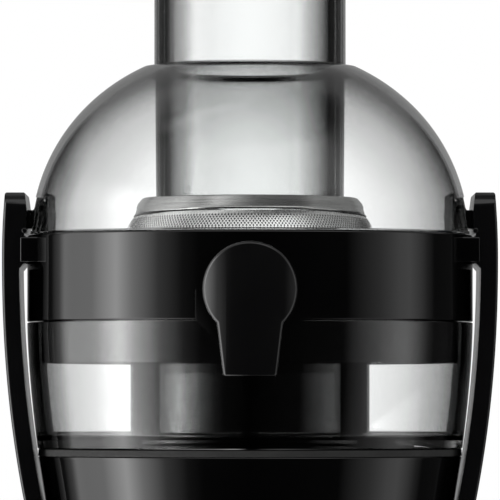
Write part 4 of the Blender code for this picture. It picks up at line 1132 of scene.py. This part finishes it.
def clamp(side, name):
    """Bowed arm that narrows to a foot on its pin; the hook at its top holds the lid."""
    half, foot_half = 0.0230, 0.0130
    pin = ahead(side * PIVOT_X, PIVOT_Z)
    section = rounded([(side * p[0],) + tuple(p[1:]) for p in clamp_outline()], 4)
    arm = prism(name + "_fine", section, -half - 0.001, half + 0.001, ahead(0, 0))
    shoulder = PIVOT_Z + 0.0330
    shape = [(-foot_half, PIVOT_Z - 0.008, 0.002), (foot_half, PIVOT_Z - 0.008, 0.002)]
    shape += [(foot_half, PIVOT_Z + 0.014, 0.006), (half, shoulder, 0.010)]
    shape += [(half, CLAMP_TOP + 0.0005, 0.0056), (-half, CLAMP_TOP + 0.0005, 0.0056)]
    shape += [(-half, shoulder, 0.010), (-foot_half, PIVOT_Z + 0.014, 0.006)]
    upright = Matrix.Rotation(math.radians(90 * side), 4, "Z")
    plate = prism("plate", rounded(shape, 8), 0.040, 0.100, facing(outer_side(side)) @ upright)
    combine(arm, plate, operation="INTERSECT")
    room = 0.0200
    for y in (HOOK_NOSE, -HOOK_NOSE - room):
        combine(arm, block("beside_hook", (side * 0.0690, y, BAND_TOP - 0.0001),
                           (side * CLAMP_FACE, y + room, CLAMP_TOP)))
    eased(arm, side, half)
    stud = rod("stud", 0.0009, half - 0.0020, half + 0.0005,
               ahead(side * 0.0782, BAND_TOP + 0.0012), 24, 0.0003)
    combine(arm, stud, operation="UNION")
    boss = rod("boss", 0.0052, -foot_half + 0.0001, foot_half - 0.0001, pin, 64, 0.0005)
    web = block("web", (side * PIVOT_X, -foot_half + 0.001, PIVOT_Z - 0.0040),
                (side * (PIVOT_X + 0.0070), foot_half - 0.001, PIVOT_Z + 0.0045))
    combine(arm, web, boss, operation="UNION")
    combine(arm, rod("pin_bore", PIN_R + GAP, -0.02, 0.02, pin, 32))
    stands_for(arm, name)


for build in (base_shell, under_side, seat_ring, cord_gland, speed_knob, sieve_mesh, sieve_rim,
              sieve_hub, grater_disc, pulp_container, juice_collector, spout, lid, pusher):
    build()
clamp(-1, "left_clamp")
clamp(1, "right_clamp")
for node, obj in NODES.items():
    finish = BY_SLOT[SLOT_OF[node]]
    if not obj.data.materials:
        obj.data.materials.append(finish)
    for i in range(len(obj.data.materials)):
        obj.data.materials[i] = finish


# ---- stage: floor, studio surroundings, camera ------------------------------------------

def floor():
    """A wide pale floor at the feet, left out of reflections and of what clear walls show."""
    mesh = bpy.data.meshes.new("floor")
    with editing(mesh) as bm:
        bmesh.ops.create_grid(bm, x_segments=24, y_segments=24, size=3.0)
    obj = to_object("floor", mesh)
    mat, tree, shader, where = new_material("floor_pale")
    tree.links.new(ramp(tree, noise(tree, where, 6.0), [(0.3, (0.80, 0.80, 0.80)),
                   (0.7, (0.83, 0.83, 0.83))]), shader.inputs["Base Color"])
    shader.inputs["Roughness"].default_value = 0.6
    shader.inputs["Specular IOR Level"].default_value = 0.2
    bump(tree, shader, noise(tree, where, 500.0), 0.05, 0.0001)
    mesh.materials.append(mat)
    obj.visible_glossy = False
    obj.visible_transmission = False


# Radiance of the studio seen in reflections, by azimuth in degrees; 0 is in front of the
# object and +90 at its right. STUDIO is level, the others stand above it. The ramps hold
# values up to 1, so that every radiance is divided by BRIGHTEST and then multiplied again.
BRIGHTEST = 6.2
BEHIND_CLEAR = 0.3        # extra brightness of the backdrop behind clear plastic
SOFT_LIGHT = 0.75         # even light that falls on matt surfaces
STUDIO = [(-180, 0.33), (-156, 0.42), (-153, 0.03), (-124, 0.03), (-116, 0.5), (-111, 1.75),
          (-104, 1.9), (-89, 2.5), (-72.6, 6.1), (-62.5, 3.1), (-48, 0.74), (-35, 0.115),
          (-26, 0.02), (0, 0.004), (51, 0.02), (70.5, 0.5), (83, 0.95), (90, 1.0), (98, 0.55),
          (104, 0.2), (110, 0.03), (153, 0.03), (156, 0.42), (180, 0.33)]
STUDIO_MIDDLE = [(-180, 0.3), (-150, 0.4), (-133, 0.8), (-112, 1.1), (-94, 0.9), (-77, 0.45),
                 (-61, 0.67), (-44, 0.79), (-27, 1.0), (0, 1.25), (25, 1.39), (38, 1.55), (59, 1.06),
                 (75, 0.51), (93, 0.34), (130, 0.3), (180, 0.3)]
STUDIO_TOP = [(-180, 0.6), (-130, 0.5), (-115, 0.5), (-95, 0.42), (-80, 1.5), (-66, 0.5),
              (-39, 0.33), (-14, 0.24), (11, 0.155), (37, 0.11), (58, 0.083), (93, 0.06),
              (128, 0.06), (180, 0.6)]


def studio():
    """Plain white backdrop for the camera; gloss sees the radiance maps, by where it reflects."""
    world = bpy.data.worlds.new("studio")
    world.cycles.sampling_method = "NONE"
    bpy.context.scene.world = world
    world.use_nodes = True
    tree = world.node_tree
    nodes, links = tree.nodes, tree.links
    background = nodes["Background"]
    parts = nodes.new("ShaderNodeSeparateXYZ")
    links.new(nodes.new("ShaderNodeTexCoord").outputs["Generated"], parts.inputs["Vector"])
    x, y, z = (parts.outputs[axis] for axis in "XYZ")
    azimuth = maths(tree, "ARCTAN2", x, maths(tree, "MULTIPLY", y, -1.0))
    turn = maths(tree, "ADD", maths(tree, "DIVIDE", azimuth, 2 * math.pi), 0.5)

    def around(stops):
        """Radiance by azimuth, from (degrees, value) pairs."""
        points = [(degrees / 360 + 0.5, (value / BRIGHTEST,) * 3) for degrees, value in stops]
        return maths(tree, "MULTIPLY", ramp(tree, turn, points), BRIGHTEST)

    def raised(start, end, below, above):
        """Turns from one map to the next between two heights of the reflected direction."""
        return mixed(tree, spread(tree, z, start, end, soft=True), below, above)

    reflected = raised(0.30, 0.50, around(STUDIO), around(STUDIO_MIDDLE))
    reflected = raised(0.80, 0.90, reflected, around(STUDIO_TOP))
    path = nodes.new("ShaderNodeLightPath")

    def past(depth):
        return maths(tree, "GREATER_THAN", path.outputs[depth], 0.5)

    straight = maths(tree, "ADD", 1.0, maths(tree, "MULTIPLY", past("Transmission Depth"), BEHIND_CLEAR))
    seen = mixed(tree, past("Glossy Depth"), straight, reflected)
    links.new(mixed(tree, past("Diffuse Depth"), seen, SOFT_LIGHT), background.inputs["Strength"])
    background.inputs["Color"].default_value = (1.0, 1.0, 1.0, 1.0)
    links.new(background.outputs["Background"], nodes["World Output"].inputs["Surface"])


def camera():
    """A long lens almost level with the juice collector, straight in front."""
    distance, eye_z, aim_z = 2.2, 0.170, 0.225
    data = bpy.data.cameras.new("camera")
    data.sensor_width = 36.0
    data.lens = 452.7
    data.clip_end = 20.0
    obj = bpy.data.objects.new("camera", data)
    bpy.context.scene.collection.objects.link(obj)
    eye = Vector((0.0, AXIS_Y - distance, eye_z))
    target = Vector((0.0, AXIS_Y, aim_z))
    obj.location = eye
    obj.rotation_euler = (target - eye).to_track_quat("-Z", "Y").to_euler()
    bpy.context.scene.camera = obj


floor()
studio()
camera()
scene = bpy.context.scene
scene.view_settings.view_transform = "Standard"
scene.cycles.max_bounces = 40
scene.cycles.transmission_bounces = 36
scene.cycles.glossy_bounces = 8
scene.cycles.transparent_max_bounces = 16
